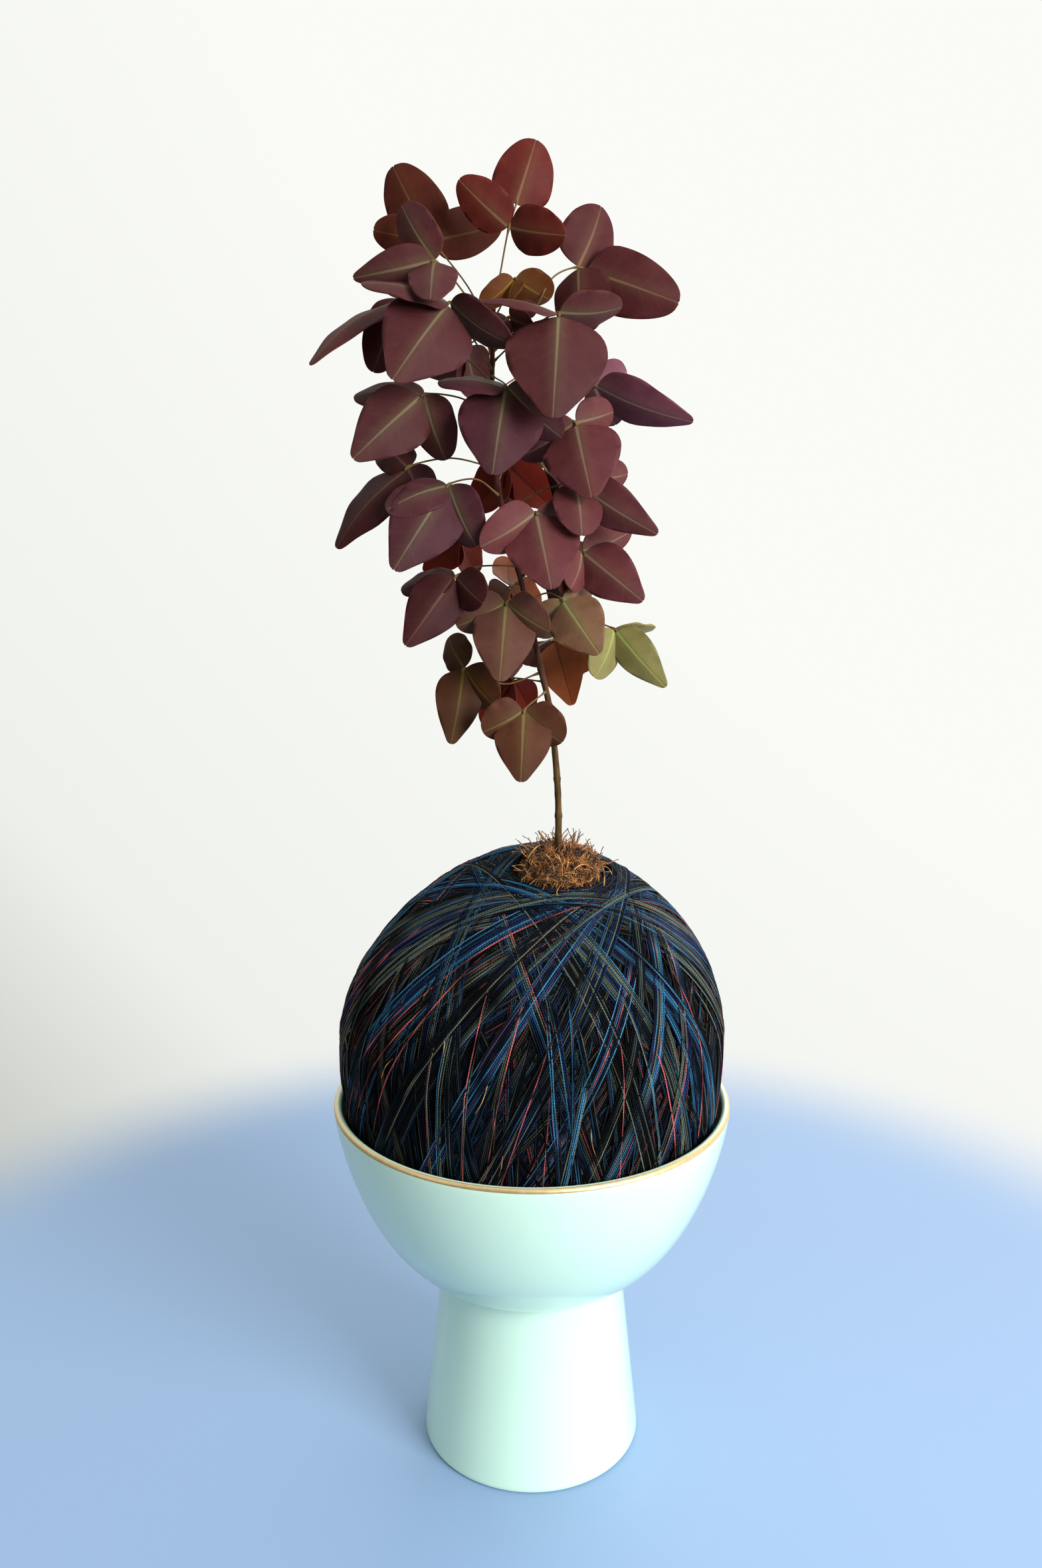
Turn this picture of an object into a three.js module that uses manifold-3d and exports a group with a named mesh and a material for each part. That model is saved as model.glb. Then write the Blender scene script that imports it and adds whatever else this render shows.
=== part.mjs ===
// A kokedama: a house plant whose roots sit in a ball of coconut fibre wound with yarn, in a glazed
// pedestal bowl. Millimetres, +Z up. The origin is the centre of the bowl's foot, on the surface that it
// stands on. The front of the plant faces -Y.
import * as THREE from 'three';
import { mergeVertices } from 'three/addons/utils/BufferGeometryUtils.js';
import Module from 'manifold-3d';

const wasm = await Module();
wasm.setup();

// Driving dimensions
const clearance = 0.35;

const bowl = {
  rimRadius: 75,
  rimHeight: 140,
  lipThickness: 3,
  cupDepth: 72.3,
  floorHeight: 83,
  floorRadius: 21,
  neckRadius: 34.9,
  neckHeight: 71.7,
  footRadius: 42.5,
  footWall: 4.5,
  footRoofHeight: 73,
  footEdge: 1,
  sides: 32,
};

const ball = {
  centreHeight: 168,
  radius: 73.4,
  topReach: 71.5,
  bottomReach: 86,
  topPower: 1.73,
  bottomPower: 2.4,
  lean: 0.045,
  seatHeight: bowl.floorHeight + clearance,
  mouthTilt: new THREE.Vector3(10.5, -18, 69).normalize(),
  sides: 36,
};

const yarn = { thickness: 4, relief: 1.3, mouthAngle: 15, rows: 17, innerRows: 5 };

const coir = {
  thickness: 8,
  collarAngle: 13.2,
  collarRise: 1.5,
  holeAngle: 5,
  innerRows: 4,
  fibres: 34,
  fibreRadius: 0.55,
  seed: 7,
};

const soil = { holeRadius: 1.9 };

const stem = {
  baseRadius: 1.3,
  topRadius: 0.75,
  scarSwelling: 0.22,
  sides: 7,
  stations: 24,
  stubRadius: 0.6,
};

const leaf = {
  bladeThickness: 0.8,
  petioleRadius: 0.6,
  hubRadius: 1,
  lateralOffset: 0.4,
  petioleSides: 4,
  petioleStep: 12,
  rootWidth: 0.7,
  rootSink: 0.1,
  fold: 13,
  arch: 0.07,
  wave: 0.45,
  terminalStalk: 0.13,
};

// Half widths along a leaflet, from its root to its blunt tip: [place along, share of the half width]
const terminalOutline = [[0, 0], [0.08, 0.34], [0.28, 1], [0.58, 0.88], [0.86, 0.46], [1, 0.14]];
const lateralOutline = [[0, 0], [0.11, 0.34], [0.36, 1], [0.7, 0.8], [1, 0.18]];
const smallOutline = [[0, 0], [0.2, 0.76], [0.55, 1], [1, 0.22]];
const smallWidth = 16;
const tipNotch = 0.015;

// Points that the middle of the stem passes, from its end in the soil to its growing tip
const stemRoute = [
  [9.7, -17.4, 210], [9.2, -16, 243], [9.2, -14.5, 255], [8.4, -13, 270], [5.8, -11, 292], [2.5, -10, 306],
  [-3, -9, 331], [-6.2, -8.5, 343], [-10.6, -8, 360], [-12.4, -8, 371], [-13.7, -8, 404], [-13.2, -7, 425],
];

// Dry leafless petioles: [height on the stem, end of the stub]
const stubs = [[343, [-9, -11, 348]], [336, [1, -11, 339]]];

// Every leaf: the height where its petiole leaves the stem, the points that the petiole passes, the hub
// where the leaflets meet, and for each leaflet, terminal first, its tip, its full width and its turn in
// degrees about its own midrib. Leaves in frontLeaves face the front, those in backLeaves face the back.
const frontLeaves = [
  { tone: 'red', from: 423, by: [[-11, -5, 436]], hub: [-8, -8, 450],
    leaflets: [[[1, -4, 478], 22, 8], [[-24, -15, 463], 16, -20], [[10, -16, 446], 17, 25]] },
  { tone: 'plum', from: 409, by: [[-20, -10, 425]], hub: [-32, -17, 438],
    leaflets: [[[-59, -15, 433], 15, -15], [[-43, -13, 456], 15, -25], [[-32, -40, 423], 17, 0]] },
  { tone: 'red', from: 413, by: [[-21, -3, 431]], hub: [-34, 2, 448],
    leaflets: [[[-47, 4, 472], 22, -12], [[-53, -4, 450], 14, -25], [[-10, 14, 456], 18, 25]] },
  { tone: 'plum', from: 405, by: [[-21, -16, 416]], hub: [-27, -25, 424],
    leaflets: [[[-44, -40, 399], 32, 0], [[-54, -33, 429], 16, 65], [[-7, -30, 410], 16, 50]] },
  { tone: 'maroon', from: 401, by: [[-31, -4, 417]], hub: [-45, -2, 429],
    leaflets: [[[-72, -28, 405], 17, 55], [[-53, -14, 402], 18, 15], [[-45, 34, 442], 16, 20]] },
  { tone: 'olive', from: 421, hub: [-6, -14, 433],
    leaflets: [[[-8, -19, 425], 10, 45], [[-18, -17, 425], 13, -20], [[6, -4, 429], 16, 20]] },
  { tone: 'red', from: 418, hub: [-8, -14, 421],
    leaflets: [[[0, -20, 417], 9, 20], [[-14, -24, 415], 10, 0], [[1, -17, 424], 8, 40]] },
  { tone: 'red', from: 411, by: [[-1, -9, 422], [7, -7, 435]], hub: [15, -6, 438],
    leaflets: [[[48, -12, 426], 23, 5], [[23, -2, 458], 22, 25], [[17, -14, 416], 22, 25]] },
  { tone: 'plum', from: 407, by: [[-2, -20, 416]], hub: [8, -30, 420],
    leaflets: [[[6, -44, 387], 35, 0], [[-18, -27, 425], 16, 75], [[29, -20, 423], 16, 50]] },
  { tone: 'plum', from: 403, hub: [-9, -26, 398],
    leaflets: [[[-13, -38, 370], 30, 0], [[-31, -25, 400], 16, 65], [[9, -27, 382], 18, 25]] },
  { tone: 'plum', from: 394, by: [[-1, -14, 393]], hub: [14, -20, 387],
    leaflets: [[[19, -32, 363], 28, 6], [[-5, -11, 376], 16, -25], [[27, -14, 391], 14, 20]] },
  { tone: 'plum', from: 399, by: [[0, -2, 401]], hub: [21, 2, 401],
    leaflets: [[[54, -8, 388], 18, 35], [[34, 16, 407], 14, 20], [[29, 7, 388], 14, 25]] },
  { tone: 'plum', from: 388, by: [[-23, -14, 395]], hub: [-36, -21, 396],
    leaflets: [[[-58, -33, 375], 24, 0], [[-29, -21, 375], 17, 20], [[-60, -12, 397], 16, 50]] },
  { tone: 'maroon', from: 357, by: [[0, -14, 364]], hub: [14, -20, 368],
    leaflets: [[[41, -26, 351], 17, 20], [[16, -33, 351], 18, -15], [[33, -6, 371], 14, 20]] },
  { tone: 'plum', from: 354, hub: [1, -24, 358],
    leaflets: [[[6, -38, 334], 27, 0], [[-17, -31, 347], 17, -22], [[18, -8, 352], 17, 30]] },
  { tone: 'maroon', from: 373, by: [[-28, -14, 376]], hub: [-42, -16, 373],
    leaflets: [[[-66, -24, 347], 22, 45], [[-52, -4, 381], 14, 20], [[-38, 6, 361], 16, 0]] },
  { tone: 'plum', from: 364, by: [[-19, -16, 369]], hub: [-28, -24, 367],
    leaflets: [[[-45, -38, 340], 26, 0], [[-19, -28, 347], 17, 20], [[-48, -31, 359], 15, 35]] },
  { tone: 'plum', from: 340, by: [[-19, -16, 340]], hub: [-26, -22, 337],
    leaflets: [[[-42, -34, 315], 20, 0], [[-45, -18, 333], 16, 55], [[-17, -32, 329], 15, 15]] },
  { tone: 'brown', from: 331, hub: [-9, -20, 328],
    leaflets: [[[-11, -32, 303], 23, 0], [[-26, -20, 320], 16, -20], [[5, -26, 319], 16, 22]] },
  { tone: 'plum', from: 328, by: [[5, -13, 331]], hub: [10, -18, 329],
    leaflets: [[[22, -30, 312], 21, 0], [[3, -10, 315], 14, -20], [[21, 2, 327], 14, 20]] },
  { tone: 'green', from: 320, by: [[14, -3, 322]], hub: [29, -6, 318],
    leaflets: [[[46, -16, 299], 15, 10], [[43, 6, 316], 14, 65], [[22, -14, 302], 15, -35]] },
  { tone: 'brown', from: 345, by: [[4, -8, 344]], hub: [17, -12, 345],
    leaflets: [[[37, -22, 329], 20, 0], [[35, -2, 352], 15, 30], [[13, -22, 333], 14, -45]] },
  { tone: 'brown', from: 297, hub: [-3, -26, 292],
    leaflets: [[[-4, -34, 269], 21, 0], [[-17, -28, 285], 17, -20], [[10, -26, 281], 18, 22]] },
  { tone: 'brown', from: 303, by: [[-10, -8, 299]], hub: [-24, -12, 305],
    leaflets: [[[-28, -22, 280], 18, -15], [[-13, -16, 292], 17, 25], [[-30, -2, 315], 14, -25]] },
];

const backLeaves = [
  { tone: 'orange', from: 368, hub: [-9, 10, 375],
    leaflets: [[[7, 20, 360], 17, 0], [[-9, 28, 360], 16, 65], [[-21, 18, 359], 17, 25]] },
  { tone: 'orange', from: 347, by: [[-17, 6, 349]], hub: [-26, 18, 349],
    leaflets: [[[-40, 26, 337], 15, 0], [[-21, 34, 336], 15, -45], [[-25, 36, 357], 14, -45]] },
  { tone: 'orange', from: 312, hub: [8, 10, 313],
    leaflets: [[[15, 20, 288], 18, 0], [[20, 24, 300], 14, 20], [[-1, 28, 302], 15, -30]] },
  { tone: 'orange', from: 300, hub: [-7, 8, 299],
    leaflets: [[[0, 22, 284], 14, 0], [[-18, 16, 281], 16, 35], [[-13, 32, 303], 14, 25]] },
  { tone: 'orange', from: 333, hub: [-8, 12, 332],
    leaflets: [[[-16, 35, 324], 14, 5], [[2, 32, 319], 18, -25], [[-9, 37, 341], 14, 25]] },
  { tone: 'plum', from: 416, by: [[-18, 10, 418]], hub: [-24, 28, 417],
    leaflets: [[[-40, 44, 410], 20, 0], [[-19, 42, 400], 18, -35], [[-27, 48, 432], 16, -20]] },
  { tone: 'plum', from: 397, by: [[-6, 8, 404]], hub: [5, 26, 411],
    leaflets: [[[15, 44, 400], 20, 0], [[-4, 40, 400], 18, 45], [[12, 46, 424], 16, -45]] },
  { tone: 'maroon', from: 371, by: [[-1, 8, 379]], hub: [5, 30, 374],
    leaflets: [[[18, 50, 370], 18, 0], [[3, 42, 360], 17, 25], [[13, 44, 387], 15, -45]] },
  { tone: 'brown', from: 351, by: [[0, 6, 349]], hub: [11, 26, 339],
    leaflets: [[[24, 42, 330], 18, 0], [[10, 44, 321], 16, 45], [[17, 44, 347], 14, -35]] },
];

const tones = {
  plum: 0x5a3038,
  red: 0x6e2f2c,
  maroon: 0x4a1a1c,
  brown: 0x6a4534,
  olive: 0x6b6a3a,
  green: 0x7a8040,
  orange: 0x9a4a26,
};

const skyward = new THREE.Vector3(0, 0, 1);
const rightward = new THREE.Vector3(1, 0, 0);
const degrees = THREE.MathUtils.degToRad;
const vector = (place) => new THREE.Vector3(...place);

// Geometry helpers

// One closed skin: shared vertices merged, and triangles that merging has collapsed dropped
function closedSkin(geometry) {
  geometry.deleteAttribute('normal');
  geometry.deleteAttribute('uv');
  const merged = mergeVertices(geometry, 1e-4);
  const kept = [];
  for (let i = 0; i < merged.index.count; i += 3) {
    const corners = [0, 1, 2].map((k) => merged.index.getX(i + k));
    if (new Set(corners).size === 3) kept.push(...corners);
  }
  merged.setIndex(kept);
  return merged;
}

function skinFrom(points, triangles) {
  const geometry = new THREE.BufferGeometry();
  geometry.setAttribute('position', new THREE.Float32BufferAttribute(points.flatMap((p) => p.toArray()), 3));
  geometry.setIndex(triangles.flat());
  return geometry;
}

// A skin through rings of points, all wound the same way about one line, with a point closing each end.
// splitOther says which diagonal parts the patch above point j of ring i.
function ringSkin(first, rings, last, splitOther = () => false) {
  const count = rings[0].length;
  const points = [first, ...rings.flat(), last];
  const at = (i, j) => 1 + i * count + (j % count);
  const end = points.length - 1;
  const triangles = [];
  for (let j = 0; j < count; j += 1) {
    triangles.push([0, at(0, j + 1), at(0, j)]);
    triangles.push([end, at(rings.length - 1, j), at(rings.length - 1, j + 1)]);
    for (let i = 0; i < rings.length - 1; i += 1) {
      const [a, b, c, d] = [at(i, j), at(i, j + 1), at(i + 1, j + 1), at(i + 1, j)];
      if (splitOther(i, j)) triangles.push([a, b, d], [b, c, d]);
      else triangles.push([a, b, c], [a, c, d]);
    }
  }
  return skinFrom(points, triangles);
}

// A round rod along a line of points, with a radius at each of them
function rod(middles, radii, sides) {
  const curve = new THREE.CatmullRomCurve3(middles);
  const last = middles.length - 1;
  const across = new THREE.Vector3();
  const rings = middles.map((middle, i) => {
    const along = curve.getTangent(i / last);
    if (i === 0) across.copy(Math.abs(along.z) < 0.9 ? skyward : rightward);
    across.addScaledVector(along, -across.dot(along)).normalize();
    const down = along.clone().cross(across);
    return Array.from({ length: sides }, (_, j) => {
      const turn = (2 * Math.PI * j) / sides;
      return middle.clone()
        .addScaledVector(across, radii[i] * Math.cos(turn))
        .addScaledVector(down, radii[i] * Math.sin(turn));
    });
  });
  return ringSkin(middles[0], rings, middles[last]);
}

// A blade from rows of points across its upper face. Both faces are split into triangles alike.
function bladeSkin(rows, drop) {
  const across = rows[0].length;
  const upper = rows.flat();
  const points = [...upper, ...upper.map((p) => p.clone().add(drop))];
  const under = upper.length;
  const at = (i, j) => i * across + j;
  const triangles = [];
  for (let i = 0; i < rows.length - 1; i += 1) {
    for (let j = 0; j < across - 1; j += 1) {
      const [a, b, c, d] = [at(i, j), at(i, j + 1), at(i + 1, j + 1), at(i + 1, j)];
      triangles.push([a, b, c], [a, c, d]);
      triangles.push([under + a, under + c, under + b], [under + a, under + d, under + c]);
    }
  }
  const last = rows.length - 1;
  const edge = [
    ...rows[0].map((_, j) => at(0, j)),
    ...rows.slice(1).map((_, i) => at(i + 1, across - 1)),
    ...rows[0].slice(1).map((_, j) => at(last, across - 2 - j)),
    ...rows.slice(1, -1).map((_, i) => at(last - 1 - i, 0)),
  ];
  edge.forEach((a, k) => {
    const b = edge[(k + 1) % edge.length];
    triangles.push([a, under + a, under + b], [a, under + b, b]);
  });
  return skinFrom(points, triangles);
}

function solidOf(geometry) {
  const skin = closedSkin(geometry);
  const mesh = new wasm.Mesh({
    numProp: 3,
    vertProperties: new Float32Array(skin.attributes.position.array),
    triVerts: new Uint32Array(skin.index.array),
  });
  return new wasm.Manifold(mesh);
}

function geometryOf(solid) {
  const mesh = solid.getMesh();
  const geometry = new THREE.BufferGeometry();
  geometry.setAttribute('position', new THREE.BufferAttribute(new Float32Array(mesh.vertProperties), 3));
  geometry.setIndex(new THREE.BufferAttribute(new Uint32Array(mesh.triVerts), 1));
  return geometry;
}

// Solids joined in one. A hollow or a scrap that joining leaves inside or beside it is dropped.
function fused(solids) {
  const whole = solids.reduce((sum, solid) => sum.add(solid));
  return geometryOf(whole.decompose().reduce((a, b) => (b.volume() > a.volume() ? b : a)));
}

// A repeatable random draw between 0 and 1
function seededDraw(seed) {
  let state = seed;
  return () => {
    state = (state * 1664525 + 1013904223) % 4294967296;
    return state / 4294967296;
  };
}

// The bowl: cup and hollow foot in one piece

// Radius of the cup's outside: steep at the rim and full in the belly
const cupRadius = (share) => bowl.rimRadius * (1 - share ** 1.345) ** (1 / 3.426);
const innerRadius = (share) => (bowl.rimRadius - bowl.lipThickness) * (1 - share ** 1.6) ** (1 / 3.2);

function bowlProfile() {
  const { rimHeight, floorHeight, cupDepth, lipThickness, footRadius, footWall, footEdge } = bowl;
  const profile = [new THREE.Vector2(0, bowl.footRoofHeight)];
  profile.push(new THREE.Vector2(bowl.neckRadius - 2 * footWall, bowl.footRoofHeight - 3));
  profile.push(new THREE.Vector2(bowl.neckRadius - footWall, bowl.neckHeight - 12));
  profile.push(new THREE.Vector2(footRadius - footWall, footEdge));
  profile.push(new THREE.Vector2(footRadius - footWall + footEdge, 0));
  profile.push(new THREE.Vector2(footRadius - footEdge, 0));
  profile.push(new THREE.Vector2(footRadius, footEdge));
  profile.push(new THREE.Vector2(bowl.neckRadius, bowl.neckHeight));
  for (const share of [0.91, 0.8, 0.66, 0.5, 0.33, 0.16]) {
    profile.push(new THREE.Vector2(cupRadius(share), rimHeight - share * cupDepth));
  }
  for (const turn of [0, 45, 90, 135, 180]) {
    const middle = bowl.rimRadius - lipThickness / 2;
    const x = middle + (lipThickness / 2) * Math.cos(degrees(turn));
    profile.push(new THREE.Vector2(x, rimHeight + (lipThickness / 2) * Math.sin(degrees(turn))));
  }
  for (const share of [0.2, 0.42, 0.64, 0.84, 0.96]) {
    profile.push(new THREE.Vector2(innerRadius(share), rimHeight - share * (rimHeight - floorHeight)));
  }
  profile.push(new THREE.Vector2(bowl.floorRadius, floorHeight));
  profile.push(new THREE.Vector2(0, floorHeight));
  return profile;
}

function bowlGeometry() {
  return closedSkin(new THREE.LatheGeometry(bowlProfile(), bowl.sides).rotateX(Math.PI / 2));
}

// The ball: a full, slightly pointed round that sags to a flat seat

// Place on the ball in a direction from its centre, some way under its surface
function ballPlace(direction, depth) {
  const up = direction.z > 0;
  const reach = up ? ball.topReach : ball.bottomReach;
  const power = up ? ball.topPower : ball.bottomPower;
  const flat = Math.hypot(direction.x, direction.y);
  const distance = ((flat / ball.radius) ** power + (Math.abs(direction.z) / reach) ** power) ** (-1 / power);
  const place = direction.clone().multiplyScalar(distance - depth);
  place.x += ball.lean * Math.max(place.z, 0);
  place.z = Math.max(place.z + ball.centreHeight, ball.seatHeight + depth);
  return place;
}

const mouthSide = new THREE.Vector3(1, 0, 0).cross(ball.mouthTilt).normalize();
const mouthFront = mouthSide.clone().cross(ball.mouthTilt);

// Direction at an angle from the middle of the mouth and a turn round it
function fromMouth(angle, turn) {
  return ball.mouthTilt.clone().multiplyScalar(Math.cos(angle))
    .addScaledVector(mouthSide, Math.sin(angle) * Math.sin(turn))
    .addScaledVector(mouthFront, Math.sin(angle) * Math.cos(turn));
}

function ballRing(angle, depthAt, sides = ball.sides) {
  return Array.from({ length: sides }, (_, j) => (
    ballPlace(fromMouth(angle, (2 * Math.PI * j) / sides), depthAt(j))
  ));
}

// Rings from one angle to another, both ends included
function ballRings(start, end, rows, depth) {
  return Array.from({ length: rows + 1 }, (_, i) => (
    ballRing(degrees(start + ((end - start) * i) / rows), () => depth)
  ));
}

// The winding, raised where bands of yarn cross, as a net of diagonal ridges
function yarnGeometry() {
  const lowest = 180 - 5;
  const rings = [ballRing(degrees(yarn.mouthAngle), () => 1)];
  const step = (lowest - yarn.mouthAngle) / yarn.rows;
  for (let i = 1; i <= yarn.rows; i += 1) {
    const angle = degrees(yarn.mouthAngle + step * i);
    rings.push(ballRing(angle, (j) => ((i + j) % 2 ? yarn.relief : 0)));
  }
  rings.reverse();
  const outside = rings.length;
  rings.push(...ballRings(yarn.mouthAngle, lowest, yarn.innerRows, yarn.thickness));
  const bottom = fromMouth(Math.PI, 0);
  const ridge = (i, j) => i < outside && (i + j + yarn.rows) % 2 === 1;
  return ringSkin(ballPlace(bottom, 0), rings, ballPlace(bottom, yarn.thickness), ridge);
}

// The fibre cover: it fills the winding and rises as a collar of loose fibres in the mouth
function coirGeometry() {
  const outer = yarn.thickness + clearance;
  const inner = outer + coir.thickness;
  const lowest = 180 - 5;
  const rings = ballRings(lowest, yarn.mouthAngle, yarn.innerRows, outer);
  rings.push(ballRing(degrees(coir.collarAngle), () => outer - 0.6));
  rings.push(ballRing(degrees(coir.collarAngle - 0.6), () => -coir.collarRise + 0.8));
  rings.push(ballRing(degrees(coir.collarAngle - 3), () => -coir.collarRise - 0.4));
  rings.push(ballRing(degrees(coir.holeAngle), () => -coir.collarRise + 0.4));
  rings.push(ballRing(degrees(coir.holeAngle + 1), () => inner - 1.5));
  rings.push(...ballRings(coir.holeAngle + 6, lowest, coir.innerRows, inner));
  const bottom = fromMouth(Math.PI, 0);
  const outside = (i) => i < yarn.innerRows;
  const cover = solidOf(ringSkin(ballPlace(bottom, outer), rings, ballPlace(bottom, inner), outside));
  return fused([cover, ...coirFibres()]);
}

// Fibres that stand out of the collar all round the mouth, rooted in it
function coirFibres() {
  const draw = seededDraw(coir.seed);
  return Array.from({ length: coir.fibres }, (_, i) => {
    const turn = (2 * Math.PI * i) / coir.fibres + 0.08 * draw();
    const angle = coir.holeAngle + 2.2 + (coir.collarAngle - coir.holeAngle - 4.6) * ((i * 0.618) % 1);
    const root = ballPlace(fromMouth(degrees(angle), turn), -coir.collarRise + 2.2);
    const lean = degrees(angle + 8 + 26 * draw());
    const out = fromMouth(lean, turn + 0.7 * (draw() - 0.5));
    const tip = root.clone().addScaledVector(out, 6 + 5 * draw());
    const across = out.clone().cross(ball.mouthTilt).normalize();
    const down = out.clone().cross(across);
    const foot = [0, 1, 2].map((k) => root.clone()
      .addScaledVector(across, coir.fibreRadius * Math.cos((2 * Math.PI * k) / 3))
      .addScaledVector(down, coir.fibreRadius * Math.sin((2 * Math.PI * k) / 3)));
    return solidOf(skinFrom([...foot, tip], [[0, 2, 1], [0, 1, 3], [1, 2, 3], [2, 0, 3]]));
  });
}

// The ball of soil and roots inside the cover, with a plain hole for the stem
function rootBallGeometry() {
  const depth = yarn.thickness + coir.thickness + 2 * clearance;
  const rings = ballRings(180 - 5, coir.holeAngle + 6, coir.innerRows, depth);
  const low = ballPlace(fromMouth(Math.PI, 0), depth);
  const top = ballPlace(fromMouth(0, 0), depth);
  const body = solidOf(ringSkin(low, rings, top, () => true));
  const [foot, above] = stemRoute.slice(0, 2).map(vector);
  const below = foot.clone().lerp(above, -clearance / foot.distanceTo(above));
  const hole = rod([below, above], [soil.holeRadius, soil.holeRadius], stem.sides);
  return geometryOf(body.subtract(solidOf(hole)));
}

// The stem and its leaves

const stemCurve = new THREE.CatmullRomCurve3(stemRoute.map(vector));

function stemRadius(share) {
  const taper = THREE.MathUtils.lerp(stem.baseRadius, stem.topRadius, share);
  const scar = Math.round(share * stem.stations) % 3 === 1 ? stem.scarSwelling : 0;
  return taper + scar;
}

// Share of the stem's length at a height: the stem rises all the way
function shareAtHeight(height) {
  let [low, high] = [0, 1];
  for (let i = 0; i < 30; i += 1) {
    const middle = (low + high) / 2;
    if (stemCurve.getPointAt(middle).z < height) low = middle;
    else high = middle;
  }
  return low;
}

// The place beside the stem where a stalk that heads for a point begins, and a second point that sets it
// off squarely
function stalkStart(height, towards, radius) {
  const share = shareAtHeight(height);
  const middle = stemCurve.getPointAt(share);
  const out = towards.clone().sub(middle).setZ(0).normalize();
  const skin = stem.scarSwelling + THREE.MathUtils.lerp(stem.baseRadius, stem.topRadius, share);
  const start = middle.clone().addScaledVector(out, skin + clearance);
  const next = middle.clone().addScaledVector(out, skin + clearance + 2 * radius);
  return [start, next];
}

function stemGeometry() {
  const shares = Array.from({ length: stem.stations + 1 }, (_, i) => i / stem.stations);
  const middles = shares.map((share) => stemCurve.getPointAt(share));
  const solids = [solidOf(rod(middles, shares.map(stemRadius), stem.sides))];
  for (const [height, end] of stubs) {
    const foot = stemCurve.getPointAt(shareAtHeight(height));
    solids.push(solidOf(rod([foot, vector(end)], [stem.stubRadius, stem.stubRadius], leaf.petioleSides)));
  }
  return fused(solids);
}

// One leaflet between two points. It arches, folds back along its midrib and waves at its edges.
function leaflet(root, tip, width, turn, facing, outline) {
  const along = tip.clone().sub(root);
  const length = along.length();
  const side = along.clone().cross(facing).normalize().applyAxisAngle(along.clone().normalize(), turn);
  const face = side.clone().cross(along).normalize();
  const foldBack = Math.tan(degrees(leaf.fold));
  const rows = outline.map(([share, reach], i) => {
    const half = Math.max((reach * width) / 2, leaf.rootWidth / 2);
    const bulge = leaf.arch * length * Math.sin(Math.PI * share);
    return [-1, 0, 1].map((place) => {
      const wave = i > 0 && place !== 0 ? leaf.wave * place * (i % 2 ? 1 : -1) : 0;
      const notch = place === 0 && share === 1 ? tipNotch : 0;
      return root.clone()
        .addScaledVector(along, share - notch)
        .addScaledVector(side, half * place)
        .addScaledVector(face, bulge + wave - half * Math.abs(place) * foldBack);
    });
  });
  return bladeSkin(rows, face.clone().multiplyScalar(-leaf.bladeThickness));
}

function outlineFor(terminal, width) {
  if (terminal) return terminalOutline;
  return width < smallWidth ? smallOutline : lateralOutline;
}

// Points along a petiole: through every point of its route, and one between each two of the long ones
function petioleMiddles(route) {
  const curve = new THREE.CatmullRomCurve3(route);
  const segments = route.length - 1;
  const middles = [];
  route.forEach((_, i) => {
    middles.push(curve.getPoint(i / segments));
    const long = i < segments && route[i].distanceTo(route[i + 1]) > leaf.petioleStep;
    if (long) middles.push(curve.getPoint((i + 0.5) / segments));
  });
  return middles;
}

// A leaf: a petiole that swells at the hub and runs on to the terminal leaflet, and three leaflets
function leafGeometry({ from, by = [], hub, leaflets }, facing) {
  const centre = vector(hub);
  const passed = by.map(vector);
  const tips = leaflets.map(([tip]) => vector(tip));
  const terminalRoot = centre.clone().lerp(tips[0], leaf.terminalStalk);
  const start = stalkStart(from, passed[0] ?? centre, leaf.petioleRadius);
  const middles = petioleMiddles([...start, ...passed, centre, terminalRoot]);
  const radii = middles.map((_, i) => (i === middles.length - 2 ? leaf.hubRadius : leaf.petioleRadius));
  const blades = leaflets.map(([, width, turn], k) => {
    const away = tips[k].clone().sub(centre).normalize();
    const root = k === 0
      ? terminalRoot.clone().lerp(centre, leaf.rootSink)
      : centre.clone().addScaledVector(away, leaf.lateralOffset);
    const outline = outlineFor(k === 0, width);
    return solidOf(leaflet(root, tips[k], width, degrees(turn), facing, outline));
  });
  return fused([solidOf(rod(middles, radii, leaf.petioleSides)), ...blades]);
}

// The object
const plant = new THREE.Group();

function addPiece(name, geometry, colour, roughness) {
  const material = new THREE.MeshStandardMaterial({ color: colour, roughness, metalness: 0 });
  const mesh = new THREE.Mesh(geometry, material);
  mesh.name = name;
  plant.add(mesh);
}

addPiece('bowl', bowlGeometry(), 0xc8eee0, 0.15);
addPiece('yarn_wrap', yarnGeometry(), 0x3f4448, 0.9);
addPiece('coir_cover', coirGeometry(), 0xa8672f, 0.95);
addPiece('root_ball', rootBallGeometry(), 0x2e2018, 1);
addPiece('stem', stemGeometry(), 0x4a3a2a, 0.8);

const leafName = (number) => `leaf_${String(number).padStart(2, '0')}`;
frontLeaves.forEach((entry, i) => {
  addPiece(leafName(i + 1), leafGeometry(entry, new THREE.Vector3(0, -1, 0)), tones[entry.tone], 0.55);
});
backLeaves.forEach((entry, i) => {
  const name = leafName(frontLeaves.length + i + 1);
  addPiece(name, leafGeometry(entry, new THREE.Vector3(0, 1, 0)), tones[entry.tone], 0.55);
});

export default plant;
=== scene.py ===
"""A kokedama: a house plant rooted in a ball of coconut fibre wound with yarn, in a pedestal bowl.

Sizes are in millimetres where a name says so, and in metres in Blender's own data.
"""

import math

import bmesh
import bpy
import numpy as np
from bpy.props import FloatProperty, FloatVectorProperty, IntProperty, PointerProperty
from mathutils import Matrix, Vector


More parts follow.
